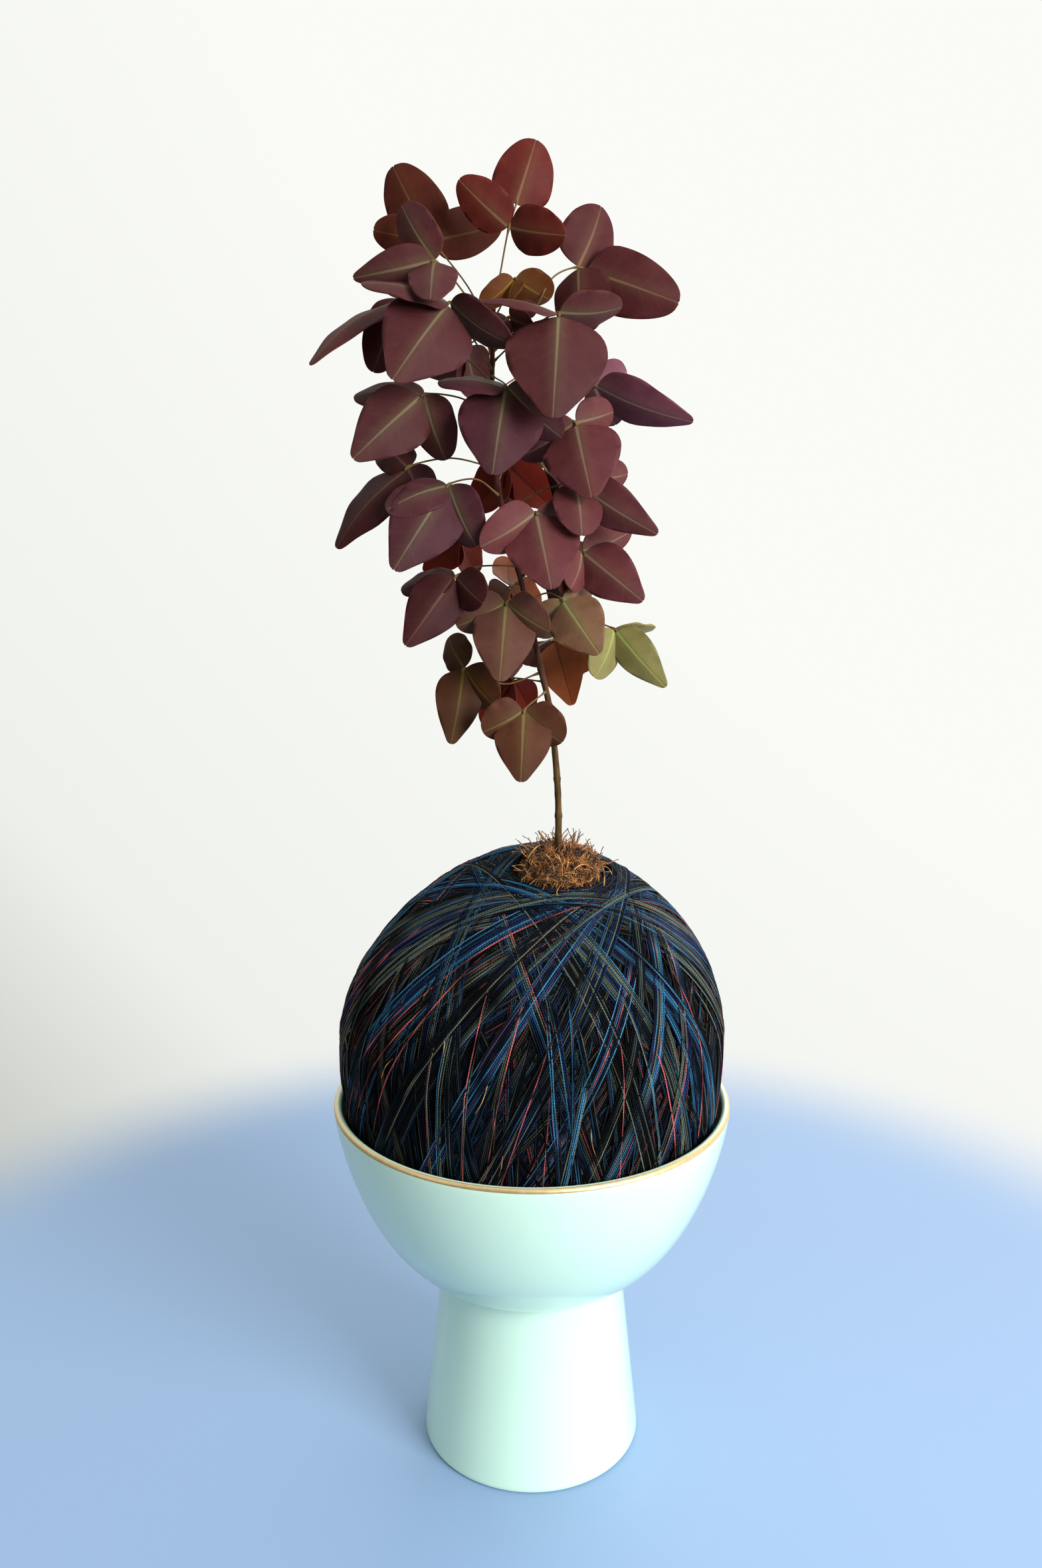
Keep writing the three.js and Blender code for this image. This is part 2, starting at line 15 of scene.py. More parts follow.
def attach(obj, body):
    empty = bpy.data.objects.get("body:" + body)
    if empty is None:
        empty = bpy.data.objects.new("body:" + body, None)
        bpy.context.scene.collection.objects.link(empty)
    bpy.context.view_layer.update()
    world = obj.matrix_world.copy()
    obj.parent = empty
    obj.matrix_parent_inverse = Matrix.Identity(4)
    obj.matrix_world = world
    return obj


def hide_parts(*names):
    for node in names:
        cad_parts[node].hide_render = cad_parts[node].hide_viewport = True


bl_info = {
    "name": "Kokedama ball plant",
    "version": (1, 0, 0),
    "blender": (4, 5, 0),
    "location": "View3D > Sidebar > Kokedama",
    "description": "Dresses a ball plant: glazed bowl, wound yarn, coconut fibre, stem and leaves",
    "category": "Object",
}

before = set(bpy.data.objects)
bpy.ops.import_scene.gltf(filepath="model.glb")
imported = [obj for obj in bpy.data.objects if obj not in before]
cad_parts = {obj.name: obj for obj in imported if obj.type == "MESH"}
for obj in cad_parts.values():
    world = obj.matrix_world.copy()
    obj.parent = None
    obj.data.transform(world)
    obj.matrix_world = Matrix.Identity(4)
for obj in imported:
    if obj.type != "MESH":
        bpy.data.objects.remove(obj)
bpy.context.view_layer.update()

MM = 0.001
BODY = "root"


def linear(hex_colour):
    """A linear RGBA colour from an sRGB hex value."""
    shares = [(hex_colour >> shift & 255) / 255 for shift in (16, 8, 0)]
    rgb = [c / 12.92 if c <= 0.04045 else ((c + 0.055) / 1.055) ** 2.4 for c in shares]
    return (*rgb, 1.0)


# Sizes in millimetres, the same as the model's

RIM_RADIUS = 75
RIM_HEIGHT = 140
LIP = 3
CUP_DEPTH = 72.3
FLOOR_HEIGHT = 83
FLOOR_RADIUS = 21
NECK_RADIUS = 34.9
NECK_HEIGHT = 71.7
FOOT_RADIUS = 42.5
FOOT_WALL = 4.5
FOOT_ROOF = 73
FOOT_EDGE = 1

BALL_CENTRE = 168
BALL_RADIUS = 73.4
BALL_TOP = 71.5
BALL_BOTTOM = 86
TOP_POWER = 1.73
BOTTOM_POWER = 2.4
BALL_LEAN = 0.045
BALL_SEAT = FLOOR_HEIGHT + 0.35
MOUTH_ANGLE = 15

STEM_ROUTE = [
    (9.7, -17.4, 210), (9.2, -16, 243), (9.2, -14.5, 255), (8.4, -13, 270), (5.8, -11, 292),
    (2.5, -10, 306), (-3, -9, 331), (-6.2, -8.5, 343), (-10.6, -8, 360), (-12.4, -8, 371),
    (-13.7, -8, 404), (-13.2, -7, 425),
]
STEM_FOOT = 1.3
STEM_TIP = 0.75
STUBS = [(343, (-9, -11, 348)), (336, (1, -11, 339))]

# Half widths along a leaflet: (place along, share of the half width). Bases are rounded. Tips are narrow
# on the leaflets that hang, and blunt on those that stand.
TERMINAL = [(0, 0.07), (0.012, 0.26), (0.05, 0.54), (0.12, 0.81), (0.22, 0.96), (0.34, 1), (0.47, 0.95),
            (0.6, 0.82), (0.73, 0.63), (0.85, 0.42), (0.93, 0.28), (0.98, 0.17), (1, 0.05)]
STANDING = [(0, 0.07), (0.012, 0.3), (0.05, 0.6), (0.12, 0.85), (0.22, 0.98), (0.34, 1), (0.47, 0.97),
            (0.6, 0.9), (0.73, 0.78), (0.85, 0.61), (0.93, 0.45), (0.98, 0.27), (1, 0.07)]
LATERAL = [(0, 0.08), (0.015, 0.29), (0.06, 0.56), (0.15, 0.84), (0.27, 0.97), (0.4, 1), (0.55, 0.96),
           (0.7, 0.85), (0.83, 0.66), (0.92, 0.47), (0.975, 0.27), (1, 0.07)]
SMALL = [(0, 0.09), (0.02, 0.35), (0.08, 0.64), (0.19, 0.89), (0.33, 0.99), (0.5, 1), (0.67, 0.94),
         (0.81, 0.79), (0.91, 0.59), (0.975, 0.35), (1, 0.1)]
SMALL_WIDTH = 16

# Every leaf: its tone, the height where its petiole leaves the stem, the points that the petiole passes,
# the hub, and for each leaflet, terminal first, its tip, its full width and its turn in degrees.
FRONT_LEAVES = [
    ("red", 423, [(-11, -5, 436)], (-8, -8, 450),
     [((1, -4, 478), 21.5, 8), ((-24, -15, 463), 16, -20), ((10, -16, 446), 17, 25)]),
    ("plum", 409, [(-20, -10, 425)], (-32, -17, 438),
     [((-59, -15, 433), 15, -15), ((-43, -13, 456), 15, -25), ((-32, -40, 423), 17, 0)]),
    ("rust", 413, [(-21, -3, 431)], (-34, 2, 448),
     [((-47, 4, 472), 22, -12), ((-53, -4, 450), 14, -25), ((-10, 14, 456), 18, 25)]),
    ("plum", 405, [(-21, -16, 416)], (-27, -25, 424),
     [((-44, -40, 399), 32, 0), ((-54, -33, 429), 16, 65), ((-7, -30, 410), 16, 50)]),
    ("wine", 401, [(-31, -4, 417)], (-45, -2, 429),
     [((-72, -28, 405), 17, 55), ((-53, -14, 404), 17, -10), ((-45, 34, 442), 16, 20)]),
    ("amber", 421, [], (-6, -14, 433),
     [((-8, -19, 425), 9, 45), ((-17, -17, 424), 10, -40), ((6, -4, 428), 14, 30)]),
    ("wine", 418, [], (-8, -14, 421),
     [((0, -20, 417), 9, 20), ((-14, -24, 415), 10, 0), ((1, -17, 424), 8, 40)]),
    ("wine", 411, [(-1, -9, 422), (7, -7, 435)], (15, -6, 438),
     [((48, -12, 426), 23, 5), ((23, -2, 458), 22, 25), ((17, -14, 416), 22, 25)]),
    ("plum", 407, [(-2, -20, 416)], (8, -30, 420),
     [((6, -44, 387), 35, 0), ((-18, -27, 425), 16, 75), ((29, -20, 423), 16, 50)]),
    ("violet", 403, [], (-9, -26, 398),
     [((-13, -38, 370), 30, 0), ((-31, -25, 400), 16, 65), ((9, -27, 382), 18, 25)]),
    ("rose", 394, [(-1, -14, 393)], (14, -20, 387),
     [((19, -32, 363), 28, 6), ((-5, -11, 376), 16, -25), ((27, -14, 391), 14, 20)]),
    ("mauve", 399, [(0, -2, 401)], (21, 2, 401),
     [((54, -8, 388), 18, 35), ((34, 16, 407), 14, 20), ((29, 7, 388), 14, 25)]),
    ("plum", 388, [(-23, -14, 395)], (-36, -21, 396),
     [((-58, -33, 375), 24, 0), ((-29, -21, 375), 17, 20), ((-60, -12, 397), 16, 50)]),
    ("rose", 357, [(0, -14, 364)], (14, -20, 368),
     [((41, -26, 351), 17, 20), ((16, -33, 351), 18, -15), ((33, -6, 371), 14, 20)]),
    ("rose", 354, [], (1, -24, 358),
     [((6, -38, 334), 27, 0), ((-17, -31, 347), 17, -22), ((18, -8, 352), 17, 30)]),
    ("maroon", 373, [(-28, -14, 376)], (-42, -16, 373),
     [((-66, -24, 347), 22, 45), ((-52, -4, 381), 14, 20), ((-38, 6, 361), 16, 0)]),
    ("violet", 364, [(-19, -16, 369)], (-28, -24, 367),
     [((-45, -38, 340), 26, 0), ((-19, -28, 347), 17, 20), ((-48, -31, 359), 15, 35)]),
    ("maroon", 340, [(-19, -16, 340)], (-26, -22, 337),
     [((-42, -34, 315), 20, 0), ((-45, -18, 333), 16, 55), ((-17, -32, 329), 15, 15)]),
    ("russet", 331, [], (-9, -20, 328),
     [((-11, -32, 303), 23, 0), ((-26, -20, 320), 16, -20), ((5, -26, 319), 16, 22)]),
    ("taupe", 328, [(5, -13, 331)], (10, -18, 329),
     [((22, -30, 312), 21, 0), ((3, -10, 315), 14, -20), ((21, 2, 327), 14, 20)]),
    ("green", 320, [(14, -3, 322)], (29, -6, 318),
     [((46, -16, 299), 15, 10), ((43, 6, 316), 14, 65), ((22, -14, 302), 15, -35)]),
    ("rose", 345, [(4, -8, 344)], (17, -12, 345),
     [((37, -22, 329), 20, 0), ((35, -2, 352), 15, 30), ((13, -22, 333), 14, -45)]),
    ("brown", 297, [], (-3, -26, 292),
     [((-4, -34, 269), 21, 0), ((-17, -28, 285), 17, -20), ((10, -26, 281), 18, 22)]),
    ("umber", 303, [(-10, -8, 299)], (-24, -12, 305),
     [((-28, -22, 280), 18, -15), ((-13, -16, 292), 17, 25), ((-30, -2, 315), 14, -25)]),
]

# Flame and orange tones here are partly painted light shining through the leaves
BACK_LEAVES = [
    ("flame", 368, [], (-9, 10, 375),
     [((7, 20, 360), 17, 0), ((-9, 28, 360), 16, 65), ((-21, 18, 359), 17, 25)]),
    ("flame", 347, [(-17, 6, 349)], (-26, 18, 349),
     [((-40, 26, 337), 15, 0), ((-21, 34, 336), 15, -45), ((-25, 36, 357), 14, -45)]),
    ("orange", 312, [], (8, 10, 313),
     [((15, 20, 288), 18, 0), ((20, 24, 300), 14, 20), ((-1, 28, 302), 15, -30)]),
    ("flame", 300, [], (-7, 8, 299),
     [((0, 22, 284), 14, 0), ((-18, 16, 281), 16, 35), ((-13, 32, 303), 14, 25)]),
    ("orange", 333, [], (-8, 12, 332),
     [((-16, 35, 324), 14, 5), ((2, 32, 319), 18, -25), ((-9, 37, 341), 14, 25)]),
    ("plum", 416, [(-18, 10, 418)], (-24, 28, 417),
     [((-40, 44, 410), 20, 0), ((-19, 42, 400), 18, -35), ((-27, 48, 432), 16, -20)]),
    ("wine", 397, [(-6, 8, 404)], (5, 26, 411),
     [((15, 44, 400), 20, 0), ((-4, 40, 400), 18, 45), ((12, 46, 424), 16, -45)]),
    ("maroon", 371, [(-1, 8, 379)], (5, 30, 374),
     [((18, 50, 370), 18, 0), ((3, 42, 360), 17, 25), ((13, 44, 387), 15, -45)]),
    ("brown", 351, [(0, 6, 349)], (11, 26, 339),
     [((24, 42, 330), 18, 0), ((10, 44, 321), 16, 45), ((17, 44, 347), 14, -35)]),
]

# Each tone: the blade's colour and its midrib's. Flame and orange, on leaves at the back, are partly their
# reddish undersides and partly painted light shining through them, with the midrib darker against it
LEAF_TONES = {
    "plum": (0x4D2426, 0x7E7656),
    "violet": (0x482229, 0x7A7656),
    "mauve": (0x6A3A46, 0x907C70),
    "rose": (0x5E2D30, 0x8A7860),
    "russet": (0x59362C, 0x7C7646),
    "wine": (0x4C1E20, 0x80684A),
    "red": (0x581C16, 0x86684A),
    "rust": (0x4E1E12, 0x765230),
    "maroon": (0x371012, 0x6C4A3C),
    "brown": (0x4E2A1A, 0x7C7042),
    "umber": (0x40200C, 0x6C5A28),
    "taupe": (0x73523C, 0x939C60),
    "amber": (0x562C10, 0x86662C),
    "green": (0x80784A, 0xA4AC5C),
    "flame": (0x6C1E0E, 0x48140C),
    "orange": (0x80401E, 0x5C2C10),
}

# How far along its own length each leaf's first leaflet begins, where its stalk is a long one
LONG_STALKS = {1: 0.3, 8: 0.1}
SHORT_STALK = 0.04

# The topmost bands of yarn, laid last: the nearest angle to the mouth, the turn round it, how many
# threads, and the tone
TOP_BANDS = [
    (24, 341, 8, 0.56), (31, 316, 7, 0.3), (15, 46, 8, 0.36), (21, 96, 10, 0.1), (24, 15, 10, 0.5),
    (12, 83, 10, 0.28), (20, 203, 9, 0.64), (23, 203, 7, 0.48), (14, 218, 9, 0.42), (17, 275, 10, 0.5),
    (10, 120, 11, 0.52), (12, 100, 13, 0.58), (16, 32, 9, 0.12), (22, 184, 8, 0.6), (10, 105, 9, 0.16),
    (17, 330, 8, 0.34), (11, 90, 11, 0.3), (12, 62, 9, 0.56), (15, 156, 9, 0.66), (11, 142, 15, 0.27),
    (14, 172, 11, 0.34), (12, 196, 6, 0.08),
]

# Tan fibres that poke out between the threads: angle from the mouth, and turn round it
LOOSE_FIBRES = [(84, 20), (77, 44), (64, 56), (72, 74), (80, 104), (90, 82), (70, 230), (82, 300)]

# Long fibres that curl over the tuft: both ends as angle and turn, and how high the curl stands
CURLS = [
    ((12, 16), (10, 60), 9), ((8, 20), (9.5, 76), 9), ((12, 150), (7, 205), 6), ((13, 5), (8, -35), 6),
    ((9.5, 84), (6, 150), 6),
]

# The camera: the photo's height and focal length in pixels, its place in millimetres, and how far it
# looks down in degrees
PHOTO_HEIGHT = 2359
PHOTO_FOCAL = 1948
CAMERA_PLACE = (-4.05, -462.3, 355.2)
CAMERA_PITCH = 11.47
SENSOR = 36


# Settings


class BowlSettings(bpy.types.PropertyGroup):
    glaze: FloatVectorProperty(
        name="Glaze", description="Colour of the glaze", subtype="COLOR", default=linear(0xDEFFE8)[:3]
    )
    gilt: FloatVectorProperty(
        name="Gilt", description="Colour of the line on the rim", subtype="COLOR",
        default=linear(0xE3BE7C)[:3],
    )
    segments: IntProperty(name="Segments", description="Faces round the bowl", default=144, min=32)


class YarnSettings(bpy.types.PropertyGroup):
    bands: IntProperty(name="Bands", description="Bands of yarn below the topmost ones", default=190)
    strands: IntProperty(
        name="Strands", description="Narrow strands that come out from under the bands", default=260
    )
    thread: FloatProperty(
        name="Thread", description="Diameter of one thread", unit="LENGTH", default=0.62 * MM
    )
    spacing: FloatProperty(
        name="Spacing", description="Distance between threads of a band", unit="LENGTH",
        default=0.7 * MM,
    )
    build: FloatProperty(
        name="Build", description="Depth of all the layers of yarn", unit="LENGTH", default=3.0 * MM
    )
    accent: FloatProperty(
        name="Accent", description="Share of threads that are coral", subtype="FACTOR", default=0.1
    )
    seed: IntProperty(name="Seed", description="Seed of the winding", default=11)


class CoirSettings(bpy.types.PropertyGroup):
    fibres: IntProperty(name="Fibres", description="Fibres in the mouth", default=1500)
    fibre: FloatProperty(
        name="Fibre", description="Diameter of one fibre", unit="LENGTH", default=0.32 * MM
    )
    length: FloatProperty(
        name="Length", description="Length of a typical fibre", unit="LENGTH", default=6.2 * MM
    )
    standing: FloatProperty(
        name="Standing", description="Share of fibres that stand up", subtype="FACTOR", default=0.3
    )
    seed: IntProperty(name="Seed", description="Seed of the fibres", default=4)


class LeafSettings(bpy.types.PropertyGroup):
    thickness: FloatProperty(
        name="Thickness", description="Thickness of a blade", unit="LENGTH", default=0.4 * MM
    )
    petiole: FloatProperty(
        name="Petiole", description="Radius of a petiole", unit="LENGTH", default=0.3 * MM
    )
    fold: FloatProperty(
        name="Fold", description="How far each half folds back", subtype="ANGLE",
        default=math.radians(13),
    )
    vein_spacing: FloatProperty(
        name="Vein spacing", description="Distance between side veins", unit="LENGTH",
        default=3.2 * MM,
    )


class StageSettings(bpy.types.PropertyGroup):
    floor: FloatVectorProperty(
        name="Floor", description="Colour of the floor", subtype="COLOR", default=linear(0x8FABD0)[:3]
    )
    key_power: FloatProperty(name="Key", description="Power of the main light in watts", default=18)
    sky_strength: FloatProperty(name="Sky", description="Strength of the surroundings", default=1.0)


# Helpers


def feed(tree, socket, value):
    """Sets an input to a value, or links it from a socket or from a node's first output in use."""
    if isinstance(value, bpy.types.Node):
        value = next(output for output in value.outputs if output.enabled)
    if isinstance(value, bpy.types.NodeSocket):
        tree.links.new(value, socket)
    else:
        socket.default_value = value


def add(tree, kind, inputs=None, stops=None, **settings):
    """Adds a node with its settings, its inputs as values or links, and a colour ramp's stops."""
    node = tree.nodes.new(kind)
    for key, value in settings.items():
        setattr(node, key, value)
    for key, value in (inputs or {}).items():
        feed(tree, node.inputs[key], value)
    if stops:
        elements = node.color_ramp.elements
        while len(elements) < len(stops):
            elements.new(1)
        for element, (place, colour) in zip(elements, stops, strict=True):
            element.position = place
            element.color = linear(colour)
    return node


def new_material(name):
    """A material with only its shader, its tree, and each place on the object as a socket."""
    material = bpy.data.materials.new(name)
    material.use_nodes = True
    tree = material.node_tree
    return material, tree, add(tree, "ShaderNodeTexCoord").outputs["Object"]


def shade(tree, **inputs):
    """Sets or links the shader's own inputs, named with underscores."""
    shader = tree.nodes["Principled BSDF"]
    for key, value in inputs.items():
        feed(tree, shader.inputs[key.replace("_", " ")], value)


def scale_of(size):
    """The scale of a pattern whose marks are a size in millimetres across."""
    return 1 / (size * MM)


def new_tree(name, kinds):
    """An empty tree of geometry nodes and its inputs. Kinds has those between geometry and material."""
    tree = bpy.data.node_groups.new(name, "GeometryNodeTree")
    for key, kind in {"Geometry": "Geometry", **kinds, "Material": "Material"}.items():
        tree.interface.new_socket(key, in_out="INPUT", socket_type=f"NodeSocket{kind}")
    tree.interface.new_socket("Geometry", in_out="OUTPUT", socket_type="NodeSocketGeometry")
    return tree, add(tree, "NodeGroupInput").outputs


def end_tree(tree, given, mesh):
    """Ends a tree with the mesh made smooth, whole and of the given material."""
    smooth = add(tree, "GeometryNodeSetShadeSmooth", {"Geometry": mesh})
    whole = add(tree, "GeometryNodeRealizeInstances", {"Geometry": smooth})
    painted = add(tree, "GeometryNodeSetMaterial", {"Geometry": whole, "Material": given["Material"]})
    add(tree, "NodeGroupOutput", {0: painted})


def grown(piece, tree, values):
    """Gives a piece the plain mesh that a tree of geometry nodes makes of it, with its input values."""
    modifier = piece.modifiers.new("grow", "NODES")
    modifier.node_group = tree
    for item in tree.interface.items_tree:
        if item.item_type == "SOCKET" and item.in_out == "INPUT" and item.name in values:
            modifier[item.identifier] = values[item.name]
    bpy.context.view_layer.update()
    graph = bpy.context.evaluated_depsgraph_get()
    made = bpy.data.meshes.new_from_object(piece.evaluated_get(graph), depsgraph=graph)
    piece.modifiers.remove(modifier)
    piece.data = made
    return piece


def unit(vectors):
    vectors = np.asarray(vectors, float)
    return vectors / np.linalg.norm(vectors, axis=-1, keepdims=True)


# Faces that meet at more than this keep a sharp edge
EDGE_ANGLE = math.radians(75)

# Each kind of attribute: the name of its value in Blender, and its type
ATTRIBUTE_KINDS = {
    "INT": ("value", np.int32),
    "FLOAT": ("value", np.float32),
    "FLOAT_VECTOR": ("vector", np.float32),
    "FLOAT_COLOR": ("color", np.float32),
}


def make_piece(name, points, faces, materials, attributes=None, face_material=None):
    """A mesh object from points in millimetres, with its place in its mesh."""
    mesh = bpy.data.meshes.new(name)
    mesh.from_pydata((np.asarray(points, float) * MM).tolist(), [], [list(map(int, f)) for f in faces])
    for key, (kind, values) in (attributes or {}).items():
        field, number = ATTRIBUTE_KINDS[kind]
        layer = mesh.attributes.new(key, kind, "POINT")
        layer.data.foreach_set(field, np.asarray(values, number).ravel())
    for material in materials:
        mesh.materials.append(material)
    if face_material is not None:
        mesh.polygons.foreach_set("material_index", np.asarray(face_material, np.int32))
    mesh.shade_smooth()
    mesh.set_sharp_from_angle(angle=EDGE_ANGLE)
    mesh.validate()
    mesh.update()
    piece = bpy.data.objects.new(name, mesh)
    bpy.context.scene.collection.objects.link(piece)
    return piece


def dress(piece, slot, *nodes):
    """Lets the piece ride on the body and hides the model's nodes that it stands for."""
    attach(piece, BODY)
    if nodes:
        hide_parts(*nodes)


def lathe(profile, segments):
    """Points and faces of a profile of (radius, height), from axis to axis, turned about Z."""
    turns = np.linspace(0, 2 * np.pi, segments, endpoint=False)
    inner = np.asarray(profile[1:-1], float)
    rings = np.stack([
        inner[:, :1] * np.cos(turns), inner[:, :1] * np.sin(turns), inner[:, 1:] * np.ones(segments)
    ], axis=-1)
    points = [(0, 0, profile[0][1]), *rings.reshape(-1, 3), (0, 0, profile[-1][1])]
    last = len(points) - 1
    faces = []
    for j in range(segments):
        k = (j + 1) % segments
        faces.append((0, 1 + j, 1 + k))
        for i in range(len(inner) - 1):
            low = 1 + i * segments
            high = low + segments
            faces.append((low + j, high + j, high + k, low + k))
        top = 1 + (len(inner) - 1) * segments
        faces.append((top + j, last, top + k))
    return points, faces


def catmull(points, places):
    """Points of the smooth curve through points, at places from 0 to 1."""
    points = np.asarray(points, float)
    count = len(points)
    padded = np.vstack([2 * points[0] - points[1], points, 2 * points[-1] - points[-2]])
    found = []
    for place in places:
        at = min(place, 1 - 1e-9) * (count - 1)
        i = int(at)
        p = padded[i:i + 4]
        gaps = np.maximum(np.linalg.norm(np.diff(p, axis=0), axis=1) ** 0.5, 1e-4)
        early = (p[1] - p[0]) / gaps[0] - (p[2] - p[0]) / (gaps[0] + gaps[1]) + (p[2] - p[1]) / gaps[1]
        late = (p[2] - p[1]) / gaps[1] - (p[3] - p[1]) / (gaps[1] + gaps[2]) + (p[3] - p[2]) / gaps[2]
        early, late = early * gaps[1], late * gaps[1]
        w = at - i
        found.append(p[1] + early * w + (3 * (p[2] - p[1]) - 2 * early - late) * w**2
                     + (2 * (p[1] - p[2]) + early + late) * w**3)
    return np.array(found)


def even_curve(points, count):
    """Points at equal steps along the smooth curve through points."""
    fine = catmull(points, np.linspace(0, 1, 40 * len(points)))
    run = np.concatenate([[0], np.cumsum(np.linalg.norm(np.diff(fine, axis=0), axis=1))])
    wanted = np.linspace(0, run[-1], count)
    return np.stack([np.interp(wanted, run, fine[:, k]) for k in range(3)], axis=1)


def tube(middles, radii, sides):
    """Points and faces of a closed tube along a line, with a radius at each point."""
    middles = np.asarray(middles, float)
    along = unit(np.gradient(middles, axis=0))
    across = np.array([0.0, 0, 1]) if abs(along[0][2]) < 0.9 else np.array([1.0, 0, 0])
    turns = np.linspace(0, 2 * np.pi, sides, endpoint=False)
    points = []
    for middle, direction, radius in zip(middles, along, radii, strict=True):
        across = unit(across - direction * (across @ direction))
        down = np.cross(direction, across)
        ring = np.outer(np.cos(turns), across) + np.outer(np.sin(turns), down)
        points.extend(middle + radius * ring)
    start, end = len(points), len(points) + 1
    points.extend([middles[0], middles[-1]])
    faces = []
    for j in range(sides):
        k = (j + 1) % sides
        faces.append((start, k, j))
        for i in range(len(middles) - 1):
            faces.append((i * sides + j, i * sides + k, (i + 1) * sides + k, (i + 1) * sides + j))
        base = (len(middles) - 1) * sides
        faces.append((end, base + j, base + k))
    return np.array(points), faces


class Builder:
    """Gathers the points, faces and attributes of one piece."""

    def __init__(self):
        self.points = []
        self.faces = []
        self.face_material = []
        self.attributes = {}

    def add(self, points, faces, material=0, **attributes):
        base = len(self.points)
        self.points.extend(points)
        self.faces.extend([tuple(base + i for i in face) for face in faces])
        self.face_material.extend([material] * len(faces))
        for key, values in attributes.items():
            self.attributes.setdefault(key, []).extend(values)


# The bowl


# The cup's outer and inner curves: how its radius falls with the share of its depth
OUTER_POWERS = (1.345, 3.426)
INNER_POWERS = (1.6, 3.2)
# The share of its depth at which the cup meets the neck, and the round on the foot's corners
NECK_SHARE = 0.91
FOOT_ROUND = 1.4


def cup_radius(share, radius=RIM_RADIUS, powers=OUTER_POWERS):
    """The cup's radius at a share of its depth."""
    return radius * (1 - share ** powers[0]) ** (1 / powers[1])


def rounded(points, radius):
    """A profile with a small round at each of its corners."""
    found = [points[0]]
    for before, corner, after in zip(points, points[1:], points[2:]):
        corner = np.array(corner, float)
        legs = [np.array(p, float) - corner for p in (before, after)]
        cuts = [corner + leg * min(0.45, radius / max(np.linalg.norm(leg), 1e-6)) for leg in legs]
        for w in (0, 0.25, 0.5, 0.75, 1):
            found.append((1 - w) ** 2 * cuts[0] + 2 * w * (1 - w) * corner + w * w * cuts[1])
    found.append(points[-1])
    return [tuple(p) for p in found]


def bowl_profile():
    """(radius, height) from under the foot's roof, out, up and over the lip to the cup's floor."""
    foot = [
        (0, FOOT_ROOF),
        (NECK_RADIUS - 2 * FOOT_WALL, FOOT_ROOF - 3),
        (NECK_RADIUS - FOOT_WALL, NECK_HEIGHT - 12),
        (FOOT_RADIUS - FOOT_WALL, FOOT_EDGE),
        (FOOT_RADIUS - FOOT_WALL + FOOT_EDGE, 0),
        (FOOT_RADIUS - FOOT_EDGE, 0),
        (FOOT_RADIUS, FOOT_EDGE),
        (NECK_RADIUS, NECK_HEIGHT),
        (cup_radius(NECK_SHARE), RIM_HEIGHT - NECK_SHARE * CUP_DEPTH),
    ]
    profile = rounded(foot, FOOT_ROUND)
    for share in np.linspace(0.9, 0.02, 40):
        profile.append((cup_radius(share), RIM_HEIGHT - share * CUP_DEPTH))
    round_lip = LIP / 2
    for turn in np.radians(np.linspace(0, 180, 13)):
        out, up = round_lip * math.cos(turn), round_lip * math.sin(turn)
        profile.append((RIM_RADIUS - round_lip + out, RIM_HEIGHT + up))
    for share in np.linspace(0.03, 0.97, 30):
        inner = cup_radius(share, RIM_RADIUS - LIP, INNER_POWERS)
        profile.append((inner, RIM_HEIGHT - share * (RIM_HEIGHT - FLOOR_HEIGHT)))
    profile.append((FLOOR_RADIUS, FLOOR_HEIGHT))
    profile.append((0, FLOOR_HEIGHT))
    return profile


def glazed_stoneware(settings):
    """Stoneware dipped in a pale glaze: a glassy skin over the body, with slow drifts of tint."""
    material, tree, place = new_material("glazed_stoneware")
    # The tint drifts over about half of the bowl's height
    drift = add(tree, "ShaderNodeTexNoise", {
        "Vector": place, "Scale": scale_of(71.4), "Detail": 3.0
    })
    deeper = tuple(c * 0.9 for c in settings.glaze)
    tint = add(tree, "ShaderNodeMix", {0: drift, 6: (*deeper, 1), 7: (*settings.glaze, 1)},
               data_type="RGBA")
    # A slight orange peel, 4 mm across, left by the running glaze
    peel = add(tree, "ShaderNodeTexNoise", {
        "Vector": place, "Scale": scale_of(4), "Detail": 1.0
    })
    bump = add(tree, "ShaderNodeBump", {"Height": peel, "Strength": 0.05, "Distance": 0.1 * MM})
    shade(tree, Base_Color=tint, Roughness=0.13, IOR=1.52, Coat_Weight=0.4, Coat_Roughness=0.05,
          Normal=bump)
    return material


def fired_gilt(settings):
    """Gold lustre brushed on the lip and fired: metal, a little worn along its edge."""
    material, tree, place = new_material("fired_gilt")
    wear = add(tree, "ShaderNodeTexNoise", {
        "Vector": place, "Scale": scale_of(2.38), "Detail": 4.0
    })
    rough = add(tree, "ShaderNodeMapRange", {"Value": wear, "To Min": 0.22, "To Max": 0.5})
    pale = add(tree, "ShaderNodeMix", {0: wear, 6: (*settings.gilt, 1), 7: linear(0xF2DDB0)},
               data_type="RGBA")
    shade(tree, Base_Color=pale, Metallic=0.75, Roughness=rough)
    return material


def bare_clay():
    """The foot ring, wiped free of glaze: fine grog in fired clay."""
    material, tree, place = new_material("bare_clay")
    # Grog is finer than this. It is drawn in grains of half a millimetre, so that it shows.
    grog = add(tree, "ShaderNodeTexNoise", {
        "Vector": place, "Scale": scale_of(0.556), "Detail": 3.0
    })
    tint = add(tree, "ShaderNodeMix", {0: grog, 6: linear(0xC9BBA4), 7: linear(0xE2D8C6)},
               data_type="RGBA")
    bump = add(tree, "ShaderNodeBump", {"Height": grog, "Strength": 0.3, "Distance": 0.1 * MM})
    shade(tree, Base_Color=tint, Roughness=0.85, Normal=bump)
    return material


# The ball


MOUTH = unit(np.array([10.5, -18, 69]))
MOUTH_FORWARD = unit(np.cross([1, 0, 0], MOUTH))
MOUTH_LEFT = np.cross(MOUTH_FORWARD, MOUTH)


